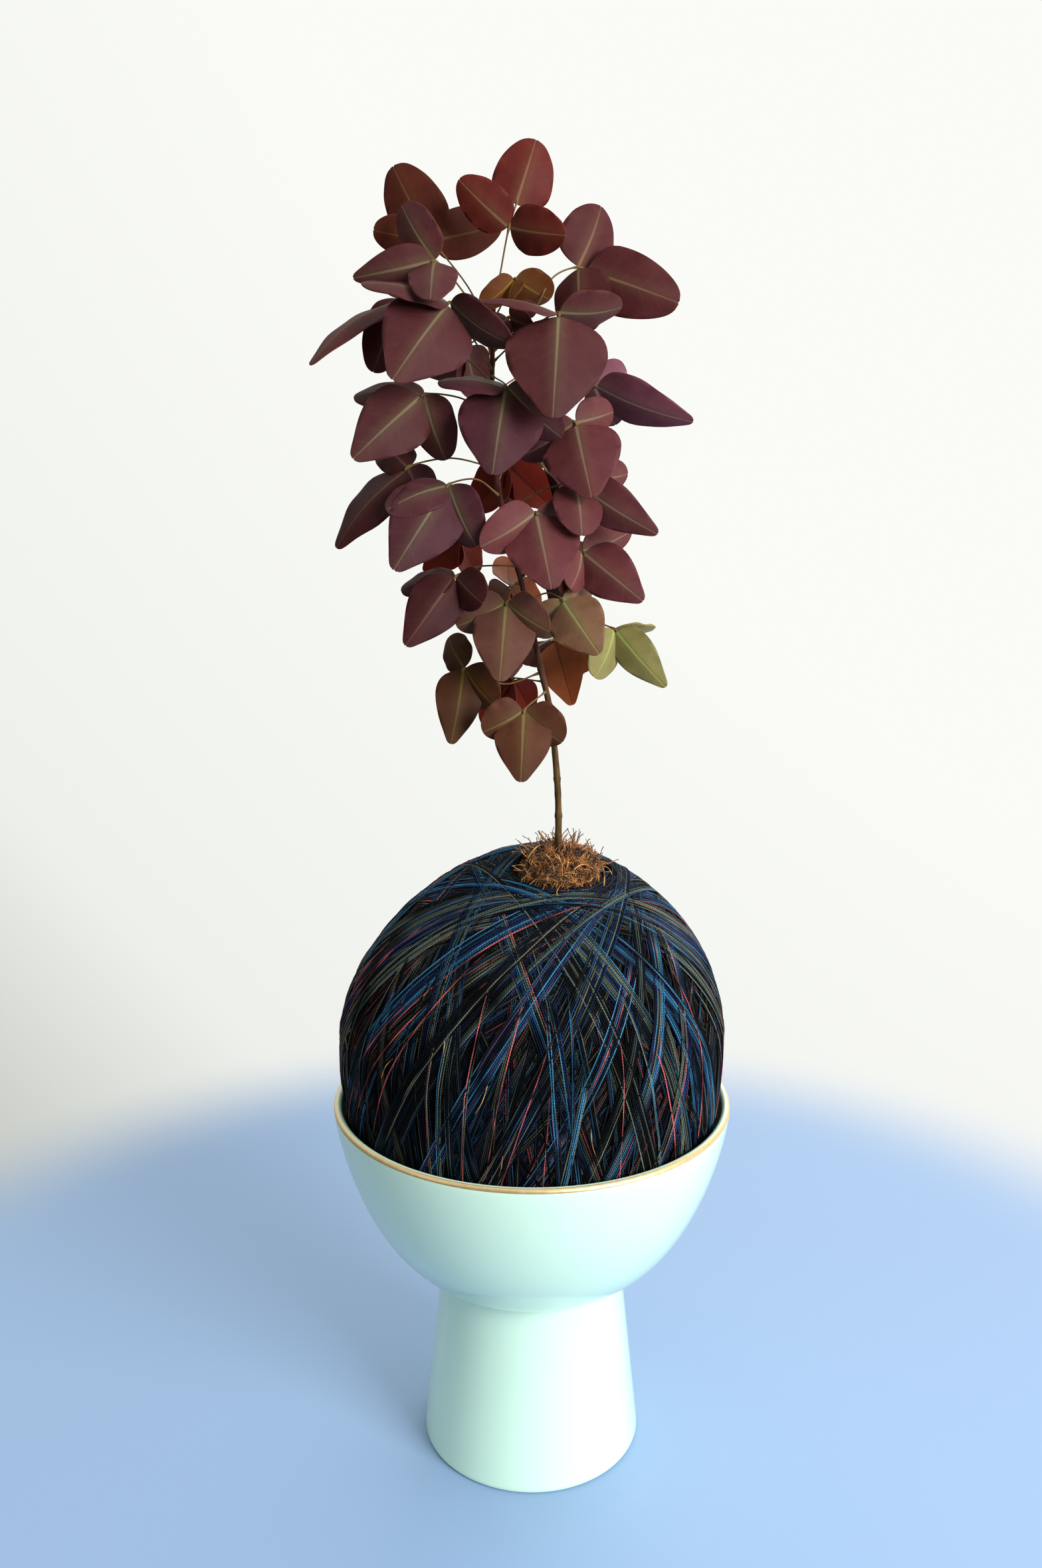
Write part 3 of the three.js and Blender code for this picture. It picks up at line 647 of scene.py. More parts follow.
def from_mouth(angle, turn):
    """Directions at angles from the middle of the mouth and turns round it, in radians."""
    angle, turn = np.broadcast_arrays(np.asarray(angle, float), np.asarray(turn, float))
    return (MOUTH * np.cos(angle)[..., None]
            + MOUTH_FORWARD * (np.sin(angle) * np.sin(turn))[..., None]
            + MOUTH_LEFT * (np.sin(angle) * np.cos(turn))[..., None])


def ball_place(directions, depth):
    """Places on the ball in directions from its centre, some way under its surface."""
    directions = np.asarray(directions, float)
    up = directions[..., 2] > 0
    reach = np.where(up, BALL_TOP, BALL_BOTTOM)
    power = np.where(up, TOP_POWER, BOTTOM_POWER)
    flat = np.hypot(directions[..., 0], directions[..., 1])
    rise = np.abs(directions[..., 2])
    distance = ((flat / BALL_RADIUS) ** power + (rise / reach) ** power) ** (-1 / power)
    places = directions * (distance - depth)[..., None]
    places[..., 0] += BALL_LEAN * np.maximum(places[..., 2], 0)
    places[..., 2] = np.maximum(places[..., 2] + BALL_CENTRE, BALL_SEAT + depth)
    return places


def on_ball(angle, turn, depth):
    """The place at an angle from the mouth and a turn in degrees, a depth under the ball's surface."""
    return ball_place(from_mouth(math.radians(angle), math.radians(turn)), np.float64(depth))


# The angle from the mouth's middle to the yarn, how much closer it comes in front, and where that is
MOUTH_WIDE = 17
MOUTH_NEARER = 8.5
MOUTH_FRONT = math.radians(112)


def mouth_reach(turn):
    """The angle in degrees at which the yarn stops round the mouth. It comes closest in front."""
    return MOUTH_WIDE - MOUTH_NEARER * np.clip(np.cos(turn - MOUTH_FRONT), 0, 1) ** 1.2


def mouth_shell(rows, turns):
    """A closed skin through rows of (angle in degrees, depth), pole to pole round the mouth's axis."""
    spin = np.linspace(0, 2 * np.pi, turns, endpoint=False)
    points = []
    for angle, depth in rows[1:-1]:
        depths = depth(spin) if callable(depth) else np.full(turns, float(depth))
        points.extend(ball_place(from_mouth(math.radians(angle), spin), depths))
    first, final = (on_ball(rows[k][0], 0, rows[k][1]) for k in (0, -1))
    points = [first, *points, final]
    last = len(points) - 1
    count = len(rows) - 2
    faces = []
    for j in range(turns):
        k = (j + 1) % turns
        faces.append((0, 1 + j, 1 + k))
        for i in range(count - 1):
            low = 1 + i * turns
            faces.append((low + j, low + turns + j, low + turns + k, low + k))
        top = 1 + (count - 1) * turns
        faces.append((top + j, last, top + k))
    return points, faces


def outward(piece):
    """Turns every face of a closed, merged skin outwards."""
    shell = bmesh.new()
    shell.from_mesh(piece.data)
    bmesh.ops.recalc_face_normals(shell, faces=shell.faces)
    shell.to_mesh(piece.data)
    shell.free()


# The yarn's colours by tone: black, grey-green, black again, blue, black, mauve, and coral at the end
THREAD_STOPS = [
    (0.0, 0x040507), (0.1, 0x0B0F12), (0.18, 0x3C4A46), (0.25, 0x5E6A60), (0.31, 0x676450),
    (0.36, 0x0C1013), (0.45, 0x080E22), (0.55, 0x183460), (0.63, 0x225C78), (0.7, 0x40789C),
    (0.74, 0x0D1830), (0.79, 0x080C18), (0.83, 0x4A3A58), (0.94, 0xB04A52), (1.0, 0xC66C62),
]
# The tone of a coral thread, the tone above which a thread counts as one, and the last plain tone
CORAL = 0.96
CORAL_FROM = 0.9
LAST_PLAIN = 0.82
# How far along a thread its plies take to wind round it once, in millimetres
PLY_TURN = 1.0


def dyed_wool(tree, place, tone):
    """The yarn's colour from its tone, as socket or node. A coral thread fades and returns."""
    # The dye changes every few centimetres
    drift = add(tree, "ShaderNodeTexNoise", {
        "Vector": place, "Scale": scale_of(38.5), "Detail": 2.0
    })
    shift = add(tree, "ShaderNodeMapRange", {"Value": drift, "To Min": -0.2, "To Max": 0.2})
    moved = add(tree, "ShaderNodeMath", {0: tone, 1: shift}, operation="ADD")
    plain = add(tree, "ShaderNodeClamp", {"Value": moved, "Min": 0.0, "Max": LAST_PLAIN})
    coral = add(tree, "ShaderNodeMath", {0: tone, 1: CORAL_FROM}, operation="GREATER_THAN")
    value = add(tree, "ShaderNodeMix", {0: coral, 2: plain, 3: tone})
    dyed = add(tree, "ShaderNodeValToRGB", {"Fac": value}, stops=THREAD_STOPS)
    # The dye comes and goes along a coral thread every centimetre or so
    bath = add(tree, "ShaderNodeTexNoise", {
        "Vector": place, "Scale": scale_of(13.33), "Detail": 1.0
    })
    faded = add(tree, "ShaderNodeMapRange", {
        "Value": bath, "From Min": 0.42, "From Max": 0.58, "To Min": 0.05, "To Max": 0.85
    })
    amount = add(tree, "ShaderNodeMath", {0: coral, 1: faded}, operation="MULTIPLY")
    return add(tree, "ShaderNodeMix", {0: amount, 6: dyed, 7: linear(0x2A1E28)}, data_type="RGBA")


def plied_wool(tree, place, run, ring):
    """The height of the thread's surface: the groove between its plies, and its fuzz."""
    # The groove is where the phase along the thread meets the place round it
    phase = add(tree, "ShaderNodeMath", {0: run, 1: 2 * math.pi / (PLY_TURN * MM)}, operation="MULTIPLY")
    wave = add(tree, "ShaderNodeCombineXYZ", {
        "X": add(tree, "ShaderNodeMath", {0: phase}, operation="SINE"),
        "Y": add(tree, "ShaderNodeMath", {0: phase}, operation="COSINE"),
    })
    twist = add(tree, "ShaderNodeVectorMath", {0: wave, 1: ring}, operation="DOT_PRODUCT")
    # Wool's hairs are 0.02 mm thick, too fine to show, so the fuzz is drawn in flecks of 0.3 mm
    fuzz = add(tree, "ShaderNodeTexNoise", {
        "Vector": place, "Scale": scale_of(0.2778), "Detail": 2.0
    })
    return add(tree, "ShaderNodeMath", {0: twist, 1: 0.22, 2: fuzz}, operation="MULTIPLY_ADD")


def sock_yarn():
    """Variegated wool yarn, worsted spun and plied: matt and softly hairy, in drifting colours."""
    material, tree, place = new_material("sock_yarn")
    tone, run, crown, buried = (
        add(tree, "ShaderNodeAttribute", attribute_name=name).outputs["Fac"]
        for name in ("tone", "run", "crown", "buried")
    )
    ring = add(tree, "ShaderNodeAttribute", attribute_name="ring").outputs["Vector"]
    colour = dyed_wool(tree, place, tone)
    bead = plied_wool(tree, place, run, ring)
    # Painted shade and light: darker in the groove between the plies, lighter on their crests, and flecked
    # by the fuzz
    level = add(tree, "ShaderNodeMapRange", {
        "Value": bead, "From Min": 0.15, "From Max": 0.85, "To Min": 0.3, "To Max": 1.45
    })
    # Painted shade: each thread's flanks, which face the next thread, are darkened, and its crown is
    # lightened.
    flank_shade = add(tree, "ShaderNodeMapRange", {
        "Value": crown, "From Min": 0.3, "From Max": 0.98, "To Min": 0.02, "To Max": 1.3
    })
    # Painted shade: threads that lie lower than the bands round them, or dive into the mouth, are darkened,
    # as they get little light, and the topmost are lightened
    gloom = add(tree, "ShaderNodeMapRange", {
        "Value": buried, "From Min": 1.2, "From Max": 6.0, "To Min": 1.65, "To Max": 0.35
    })
    pile = add(tree, "ShaderNodeMath", {0: level, 1: gloom}, operation="MULTIPLY")
    strength = add(tree, "ShaderNodeMath", {0: pile, 1: flank_shade}, operation="MULTIPLY")
    lit = add(tree, "ShaderNodeVectorMath", {0: colour, "Scale": strength}, operation="SCALE")
    bump = add(tree, "ShaderNodeBump", {"Height": bead, "Strength": 0.5, "Distance": 0.12 * MM})
    shade(tree, Base_Color=lit, Roughness=0.8, Specular_IOR_Level=0.08, Normal=bump)
    return material


def yarn_bed_material():
    """The lowest turns of the same yarn between the bands, their shade painted in as near-black colours."""
    material, tree, place = new_material("sock_yarn_bed")
    around = add(tree, "ShaderNodeAttribute", attribute_name="around").outputs["Vector"]
    lines = add(tree, "ShaderNodeTexNoise", {"Vector": around, "Scale": 1.0, "Detail": 2.0})
    colour = add(tree, "ShaderNodeValToRGB", {"Fac": lines}, stops=[
        (0.35, 0x040507), (0.5, 0x0C1016), (0.62, 0x141C24), (0.7, 0x090D18),
    ])
    # The wool's fuzz is far finer. It is drawn in flecks of 1.1 mm, so that it shows.
    fuzz = add(tree, "ShaderNodeTexNoise", {
        "Vector": place, "Scale": scale_of(1.111), "Detail": 2.0
    })
    bump = add(tree, "ShaderNodeBump", {"Height": fuzz, "Strength": 0.5, "Distance": 0.2 * MM})
    shade(tree, Base_Color=colour, Roughness=0.9, Specular_IOR_Level=0.08, Normal=bump)
    return material


class Winding:
    """Lays bands of thread on the ball one over another and keeps how high each place has built up."""

    # The height map's cells and the steps along a band, in radians, and what a layer adds in millimetres
    CELL = math.radians(0.75)
    CELLS = (241, 481)
    STEP = math.radians(0.75)
    LAYER = 0.55
    # Samples across a band, the steps that it bridges on each side, and the weights that round its climb
    SAMPLES = 7
    BRIDGE = 5
    CLIMB = np.hanning(15)[1:-1] / np.hanning(15).sum()
    # The near end of a strand rises from under the others over this angle
    EMERGING = math.radians(14)
    # Threads press together at the mouth: the share of its height that a layer keeps there, up to which
    # angle, and over which angle it gets the rest back
    PRESSED = 0.12
    PRESSED_TO = math.radians(17)
    LOOSENING = math.radians(26)

    def __init__(self):
        self.height = np.zeros(self.CELLS)

    def cells(self, directions):
        angle = np.arccos(np.clip(directions @ MOUTH, -1, 1))
        turn = np.arctan2(directions @ MOUTH_FORWARD, directions @ MOUTH_LEFT) % (2 * np.pi)
        return (angle / self.CELL).astype(int), (turn / self.CELL).astype(int)

    def route(self, nearest, turn, steps, sway):
        """Directions along a band's circle, which passes the mouth at its nearest, and its sides."""
        lead = from_mouth(nearest, turn)
        pole = from_mouth(nearest + math.pi / 2, turn)
        onward = np.cross(pole, lead)
        drift = sway[0] * np.sin(steps + sway[1])
        ahead = np.outer(np.cos(steps), lead) + np.outer(np.sin(steps), onward)
        path = unit(ahead + np.outer(drift, pole))
        return path, np.cross(path, unit(np.gradient(path, axis=0)))

    def lay(self, nearest, turn, threads, spacing, span, sway):
        """Directions, sides and heights along one band over a span of angles along its circle.

        Where the span doesn't reach across the mouth, its near end comes out from under the others.
        """
        steps = np.arange(span[0], span[1], self.STEP)
        path, side = self.route(nearest, turn, steps, sway)
        half = threads * spacing / 2 / BALL_RADIUS
        spread = np.linspace(-half, half, self.SAMPLES)
        rows, columns = self.cells(unit(path[:, None] + side[:, None] * spread[None, :, None]))
        under = self.height[rows, columns].max(axis=1)
        shifts = range(-self.BRIDGE, self.BRIDGE + 1)
        high = np.stack([np.roll(under, shift) for shift in shifts]).max(axis=0)
        soft = np.convolve(np.pad(high, len(self.CLIMB) // 2, mode="edge"), self.CLIMB, "valid")
        level = np.maximum(under, soft)
        if span[0] * span[1] > 0:
            run = abs(steps) - abs(steps).min()
            level = level * np.clip(run / self.EMERGING, 0, 1) ** 0.5
        free = np.clip((np.arccos(path @ MOUTH) - self.PRESSED_TO) / self.LOOSENING, 0, 1)
        layer = self.LAYER * (self.PRESSED + (1 - self.PRESSED) * free)
        built = np.repeat((level + layer)[:, None], self.SAMPLES, axis=1)
        np.maximum.at(self.height, (rows, columns), built)
        return path, side, level


# How far along its circle a band runs, in degrees. At the back that reaches below the bowl's rim.
BAND_END = 136
# A band passes up to this many degrees outside the mouth, and most pass close to it
MOST_SLACK = 30
SLACK_POWER = 3.2
# The fewest threads of a narrow and a wide band and of a strand, and one more than the most
NARROW = (3, 6)
WIDE = (6, 11)
STRAND = (1, 5)
# Millimetres along the ball in one degree
DEGREE = 1.3
# Tones are drawn from 0 up to this one
TONES = 0.8
# How near a strand's circle comes to the mouth, and where along it the strand comes out, in degrees
STRAND_NEAREST = (1, 16)
STRAND_START = (30, 66)
# How far a band sways off its circle, in degrees
SWAY = 1.5
# Painted shade: threads that dive into the mouth are darkened as far as ones that lie this many layers
# deep, and this fades out from 10 to 45 degrees
MOUTH_GLOOM = 2.4
GLOOM_END = math.radians(45)
GLOOM_FADE = math.radians(35)
# How many cells of the height map around a place count as its surroundings
AROUND = 3


def planned_bands(settings, draw):
    """Every band, lowest first: its nearest angle, its turn, its threads, its tone and its span."""
    plan = []
    for i in range(settings.bands):
        turn = 360 * draw.random()
        slack = MOST_SLACK * draw.random() ** SLACK_POWER
        threads = draw.integers(*(NARROW if i % 2 else WIDE))
        nearest = mouth_reach(math.radians(turn)) + 1 + slack
        plan.append((nearest, turn, int(threads), TONES * draw.random()))
    for nearest, turn, threads, tone in TOP_BANDS:
        half = threads * settings.spacing / MM / 2
        closest = mouth_reach(math.radians(turn)) + half / DEGREE
        plan.append((max(nearest, closest), turn, threads, tone))
    plan = [(*entry, np.radians([-BAND_END, BAND_END])) for entry in plan]
    for i in range(settings.strands):
        turn = 360 * draw.random()
        nearest = draw.uniform(*STRAND_NEAREST)
        span = np.radians([draw.uniform(*STRAND_START), BAND_END])
        span = span if draw.random() < 0.5 else -span[::-1]
        threads, tone = int(draw.integers(*STRAND)), TONES * draw.random()
        # Every fourth strand lies on top, and half of those are single coral threads
        on_top = i % 4 == 0
        if i % 8 == 0:
            threads, tone = 1, CORAL
        plan.insert(len(plan) if on_top else settings.bands, (nearest, turn, threads, tone, span))
    return plan


def wound_bands(settings):
    """Every band, lowest first: directions, sides, heights, threads, tone, and how deep it is buried,
    which, with more near the mouth, sets its painted shade.
    """
    draw = np.random.default_rng(settings.seed)
    winding = Winding()
    found = []
    for nearest, turn, threads, tone, span in planned_bands(settings, draw):
        sway = (math.radians(draw.uniform(-SWAY, SWAY)), draw.uniform(0, 6.28))
        laid = winding.lay(
            math.radians(nearest), math.radians(turn), threads, settings.spacing / MM, span, sway
        )
        found.append((*laid, threads, tone))
    around = winding.height
    for axis in (0, 1):
        shifts = range(-AROUND, AROUND + 1)
        around = np.stack([np.roll(around, shift, axis) for shift in shifts]).max(axis=0)
    return [(*band, buried_depth(winding, around, band[0], band[2])) for band in found]


def buried_depth(winding, around, path, level):
    """How many layers lie higher than a band around it, plus painted shade where it dives into the mouth.
    """
    near_mouth = np.clip((GLOOM_END - np.arccos(path @ MOUTH)) / GLOOM_FADE, 0, 1)
    return (around[winding.cells(path)] - level) / winding.LAYER + MOUTH_GLOOM * near_mouth


# A line has a point at every sixth step. Below this height the bowl hides it. The topmost thread's middle
# lies this deep. All but the first are in millimetres.
THREAD_STEP = 6
HIDDEN_HEIGHT = 119
TOP_DEPTH = 0.36
LINE_ATTRIBUTES = {
    "side": "FLOAT_VECTOR", "up": "FLOAT_VECTOR", "threads": "INT", "band_tone": "FLOAT", "buried": "FLOAT",
}


def band_lines(bands, build, top):
    """The middle lines of bands as points, edges and attributes, without what the bowl hides."""
    points, edges = [], []
    found = {key: [] for key in LINE_ATTRIBUTES}
    for path, side, level, threads, tone, buried in bands:
        keep = np.r_[0:len(path):THREAD_STEP]
        depth = np.clip(build - level[keep] * (build - TOP_DEPTH) / top, TOP_DEPTH, None)
        places = ball_place(path[keep], depth)
        shown = places[:, 2] > HIDDEN_HEIGHT
        chosen = keep[shown]
        count = len(chosen)
        base = len(points)
        points.extend(places[shown])
        edges.extend((base + i, base + i + 1) for i in range(count - 1))
        values = (side[chosen], path[chosen], [threads] * count, [tone] * count, buried[chosen])
        for key, more in zip(LINE_ATTRIBUTES, values, strict=True):
            found[key].extend(more)
    return points, edges, {key: (kind, found[key]) for key, kind in LINE_ATTRIBUTES.items()}


# How far a thread swings to each side, and its swings in a metre, one in 22 mm
THREAD_SWING = 0.25 * MM
THREAD_SWINGS = 45.0


def thread_draws(tree, given):
    """Three random numbers for each whole thread: for its lift, its shade and its luck."""
    draws = []
    for low, high, offset in ((-1.0, 0.3, 0), (-0.5, 0.5, 7), (0.0, 1.0, 13)):
        seed = add(tree, "ShaderNodeMath", {0: given["Seed"], 1: float(offset)}, operation="ADD")
        value = add(tree, "FunctionNodeRandomValue", {"Min": low, "Max": high, "Seed": seed},
                    data_type="FLOAT")
        draws.append(add(tree, "GeometryNodeFieldOnDomain", {0: value}, domain="CURVE", data_type="FLOAT"))
    return draws


def laid_threads(tree, given, lift, luck):
    """Copies of each middle line for its threads, side by side, each a little off its place."""
    count = add(tree, "GeometryNodeInputNamedAttribute", {"Name": "threads"}, data_type="INT")
    side = add(tree, "GeometryNodeInputNamedAttribute", {"Name": "side"}, data_type="FLOAT_VECTOR")
    up = add(tree, "GeometryNodeInputNamedAttribute", {"Name": "up"}, data_type="FLOAT_VECTOR")
    lines = add(tree, "GeometryNodeMeshToCurve", {"Mesh": given["Geometry"]})
    copies = add(tree, "GeometryNodeDuplicateElements", {"Geometry": lines, "Amount": count},
                 domain="SPLINE")
    last = add(tree, "ShaderNodeMath", {0: count, 1: -1.0}, operation="ADD")
    middle = add(tree, "ShaderNodeMath", {0: last, 1: 0.5}, operation="MULTIPLY")
    across = add(tree, "ShaderNodeMath", {0: copies.outputs["Duplicate Index"], 1: middle},
                 operation="SUBTRACT")
    sideways = add(tree, "ShaderNodeMath", {0: across, 1: given["Thread Spacing"]}, operation="MULTIPLY")
    # Luck carries each thread to its own part of the noise
    own = add(tree, "ShaderNodeMath", {0: luck, 1: 40.0}, operation="MULTIPLY")
    wander = add(tree, "ShaderNodeTexNoise", {
        "Vector": add(tree, "GeometryNodeInputPosition"), "W": own, "Scale": THREAD_SWINGS, "Detail": 1.0
    }, noise_dimensions="4D")
    swing = add(tree, "ShaderNodeMapRange", {
        "Value": wander, "From Min": 0.25, "From Max": 0.75,
        "To Min": -THREAD_SWING, "To Max": THREAD_SWING,
    })
    strayed = add(tree, "ShaderNodeMath", {0: sideways, 1: swing}, operation="ADD")
    shift = add(tree, "ShaderNodeVectorMath", {0: side, "Scale": strayed}, operation="SCALE")
    rise = add(tree, "ShaderNodeMath", {0: lift, 1: given["Looseness"]}, operation="MULTIPLY")
    raised = add(tree, "ShaderNodeVectorMath", {0: up, "Scale": rise}, operation="SCALE")
    offset = add(tree, "ShaderNodeVectorMath", {0: shift, 1: raised}, operation="ADD")
    return add(tree, "GeometryNodeSetPosition", {"Geometry": copies, "Offset": offset})


def marked_threads(tree, given, threads, spread, luck):
    """Stores each thread's tone, which is coral or near its band's, and the length run along it."""
    base = add(tree, "GeometryNodeInputNamedAttribute", {"Name": "band_tone"}, data_type="FLOAT")
    tone = add(tree, "ShaderNodeMath", {0: spread, 1: given["Tone Spread"], 2: base},
               operation="MULTIPLY_ADD")
    plain = add(tree, "ShaderNodeClamp", {"Value": tone, "Min": 0.0, "Max": 0.84})
    rare = add(tree, "FunctionNodeCompare", {0: luck, 1: given["Accent Share"]},
               operation="LESS_THAN", data_type="FLOAT")
    own = add(tree, "FunctionNodeCompare", {0: base, 1: CORAL_FROM}, operation="GREATER_THAN",
              data_type="FLOAT")
    coral = add(tree, "FunctionNodeBooleanMath", {0: rare, 1: own}, operation="OR")
    chosen = add(tree, "GeometryNodeSwitch", {"Switch": coral, "False": plain, "True": CORAL},
                 input_type="FLOAT")
    length = add(tree, "GeometryNodeSplineParameter").outputs["Length"]
    # Each thread's plies begin at a place of their own, somewhere along 10 mm
    run = add(tree, "ShaderNodeMath", {0: spread, 1: 10 * MM, 2: length}, operation="MULTIPLY_ADD")
    for name, value in (("tone", chosen), ("run", run)):
        threads = add(tree, "GeometryNodeStoreNamedAttribute", {
            "Geometry": threads, "Name": name, "Value": value
        }, data_type="FLOAT", domain="POINT")
    return threads


def round_threads(tree, given, threads, luck):
    """Threads as round skins that know which way they face, round themselves and off the ball."""
    width = add(tree, "ShaderNodeMapRange", {"Value": luck, "To Min": 0.8, "To Max": 1.1})
    drawn = add(tree, "GeometryNodeSetCurveRadius", {"Curve": threads, "Radius": width})
    radius = add(tree, "ShaderNodeMath", {0: given["Thread Diameter"], 1: 0.5}, operation="MULTIPLY")
    ring = add(tree, "GeometryNodeCurvePrimitiveCircle", {"Resolution": 4, "Radius": radius})
    spot = add(tree, "GeometryNodeInputPosition")
    around = add(tree, "ShaderNodeVectorMath", {0: spot}, operation="NORMALIZE")
    marked = add(tree, "GeometryNodeStoreNamedAttribute", {
        "Geometry": ring, "Name": "ring", "Value": around
    }, data_type="FLOAT_VECTOR", domain="POINT")
    skin = add(tree, "GeometryNodeCurveToMesh", {
        "Curve": drawn, "Profile Curve": marked, "Fill Caps": True
    })
    arm = add(tree, "ShaderNodeVectorMath", {0: spot, 1: (0, 0, BALL_CENTRE * MM)}, operation="SUBTRACT")
    outwards = add(tree, "ShaderNodeVectorMath", {0: arm}, operation="NORMALIZE")
    crown = add(tree, "ShaderNodeVectorMath", {0: outwards, 1: add(tree, "GeometryNodeInputNormal")},
                operation="DOT_PRODUCT")
    return add(tree, "GeometryNodeStoreNamedAttribute", {
        "Geometry": skin, "Name": "crown", "Value": crown
    }, data_type="FLOAT", domain="POINT")


def yarn_tree():
    """Geometry nodes that turn each middle line into a band of threads side by side."""
    tree, given = new_tree("yarn_bands", {
        "Thread Diameter": "Float", "Thread Spacing": "Float", "Looseness": "Float",
        "Tone Spread": "Float", "Accent Share": "Float", "Seed": "Int",
    })
    lift, spread, luck = thread_draws(tree, given)
    threads = laid_threads(tree, given, lift, luck)
    threads = marked_threads(tree, given, threads, spread, luck)
    end_tree(tree, given, round_threads(tree, given, threads, luck))
    return tree


# Coconut fibre


def coconut_fibre():
    """Retted coconut fibre: round, waxy hairs, tan to golden, with painted shade where they lie deep."""
    material, tree, place = new_material("coconut_fibre")
    tone = add(tree, "ShaderNodeAttribute", attribute_name="tone").outputs["Fac"]
    colour = add(tree, "ShaderNodeValToRGB", {"Fac": tone}, stops=[
        (0.0, 0x1C0B03), (0.3, 0x54300D), (0.6, 0x9A5C22), (1.0, 0xD89C56),
    ])
    # A fibre's light and dark lengths are about 3 mm long
    streak = add(tree, "ShaderNodeTexNoise", {
        "Vector": place, "Scale": scale_of(3.03), "Detail": 2.0
    })
    level = add(tree, "ShaderNodeMapRange", {
        "Value": streak, "From Min": 0.4, "From Max": 0.62, "To Min": 0.15, "To Max": 1.2
    })
    lit = add(tree, "ShaderNodeVectorMath", {0: colour, "Scale": level}, operation="SCALE")
    shade(tree, Base_Color=lit, Roughness=0.55, Sheen_Weight=0.1)
    return material


def coir_mat():
    """The same fibre matted into a felt: short strokes of light and dark, kept dark as painted shade."""
    material, tree, place = new_material("coir_mat")
    wander = add(tree, "ShaderNodeTexNoise", {
        "Vector": place, "Scale": scale_of(6.25), "Detail": 2.0
    })
    # The wander carries the strokes up to 20 mm aside, which bends them
    bent = add(tree, "ShaderNodeVectorMath", {
        0: wander.outputs["Color"], 1: [20 * MM] * 3, 2: place
    }, operation="MULTIPLY_ADD")
    # A fibre is 0.3 mm thick. The felt is drawn in strokes of 0.9 mm, so that they show.
    strokes = add(tree, "ShaderNodeTexNoise", {
        "Vector": bent, "Scale": scale_of(0.909), "Detail": 3.0
    })
    colour = add(tree, "ShaderNodeValToRGB", {"Fac": strokes}, stops=[
        (0.35, 0x100703), (0.5, 0x2E1A0B), (0.62, 0x553414), (0.72, 0x1A0D05),
    ])
    bump = add(tree, "ShaderNodeBump", {"Height": strokes, "Strength": 0.9, "Distance": 0.5 * MM})
    shade(tree, Base_Color=colour, Roughness=0.9, Normal=bump)
    return material


def damp_soil():
    """Peaty soil with roots, dark and crumbly. It lies hidden inside the ball."""
    material, tree, place = new_material("damp_soil")
    crumbs = add(tree, "ShaderNodeTexNoise", {
        "Vector": place, "Scale": scale_of(2.5), "Detail": 5.0
    })
    colour = add(tree, "ShaderNodeValToRGB", {"Fac": crumbs}, stops=[
        (0.4, 0x17100B), (0.55, 0x3A2A1C), (0.7, 0x5C452E),
    ])
    bump = add(tree, "ShaderNodeBump", {"Height": crumbs, "Strength": 0.8, "Distance": 1 * MM})
    shade(tree, Base_Color=colour, Roughness=0.95, Normal=bump)
    return material


# The fibre's patch is narrower on one side, which leaves a gap there
GAP_SHARE = 0.3
GAP_TURN = math.radians(195)


def tuft_reach(turn):
    """The angle in degrees at which the fibre has sunk to the yarn's edge."""
    return mouth_reach(turn) * (1 - GAP_SHARE * np.clip(np.cos(turn - GAP_TURN), 0, 1))


# The mound of fibre: how deep it lies in millimetres at shares of its reach
MOUND = [(0, -3.4), (0.25, -3.2), (0.45, -2.2), (0.62, -0.6), (0.78, 1.6), (0.9, 3.4), (1.1, 4.4)]


def tuft_depth(angle, seed):
    """How deep the matted fibre lies: a lumpy mound by the stem that falls away to the yarn's edge."""
    draw = np.random.default_rng(seed)
    waves = [(k, draw.uniform(0.2, 0.7) / k**0.5, draw.uniform(0, 6.28)) for k in (2, 3, 5, 8)]
    swell = min(angle / 6, 1)

    def depth(spin):
        lumps = sum(size * np.sin(k * spin + start) for k, size, start in waves)
        return np.interp(angle / tuft_reach(spin), *zip(*MOUND)) + swell * lumps

    return depth


# The widest that a kink can be from side to side, and kinks in a metre, one in 5 mm. Most are a tenth as
# wide.
FIBRE_KINK = 3.6 * MM
FIBRE_KINKS = 190.0
# How far fibres lean from straight up, in radians, and their shortest and longest share of the length
FIBRE_LEAN = 0.6
SHORTEST, LONGEST = 0.75, 2.0


def strewn_fibres(tree, given, shape, density, seed):
    """Copies of a shape strewn over the patch, turned and leaning by chance, and a few of them long."""
    own_seed = add(tree, "ShaderNodeMath", {0: given["Seed"], 1: float(seed)}, operation="ADD")
    spots = add(tree, "GeometryNodeDistributePointsOnFaces", {
        "Mesh": given["Geometry"], "Density": density, "Seed": own_seed
    })
    angles = add(tree, "FunctionNodeRandomValue", {
        "Min": (-FIBRE_LEAN, -FIBRE_LEAN, 0), "Max": (FIBRE_LEAN, FIBRE_LEAN, 6.283), "Seed": own_seed
    }, data_type="FLOAT_VECTOR")
    turned = add(tree, "FunctionNodeEulerToRotation", {0: angles})
    rotation = add(tree, "FunctionNodeRotateRotation", {0: spots.outputs["Rotation"], 1: turned},
                   rotation_space="LOCAL")
    size = add(tree, "FunctionNodeRandomValue", {"Min": 0.0, "Max": 1.0, "Seed": seed + 5},
               data_type="FLOAT")
    few = add(tree, "ShaderNodeMath", {0: size, 1: 4.0}, operation="POWER")
    factor = add(tree, "ShaderNodeMapRange", {"Value": few, "To Min": SHORTEST, "To Max": LONGEST})
    length = add(tree, "ShaderNodeMath", {0: factor, 1: given["Fibre Length"]}, operation="MULTIPLY")
    return add(tree, "GeometryNodeInstanceOnPoints", {
        "Points": spots, "Instance": shape, "Rotation": rotation, "Scale": length
    })


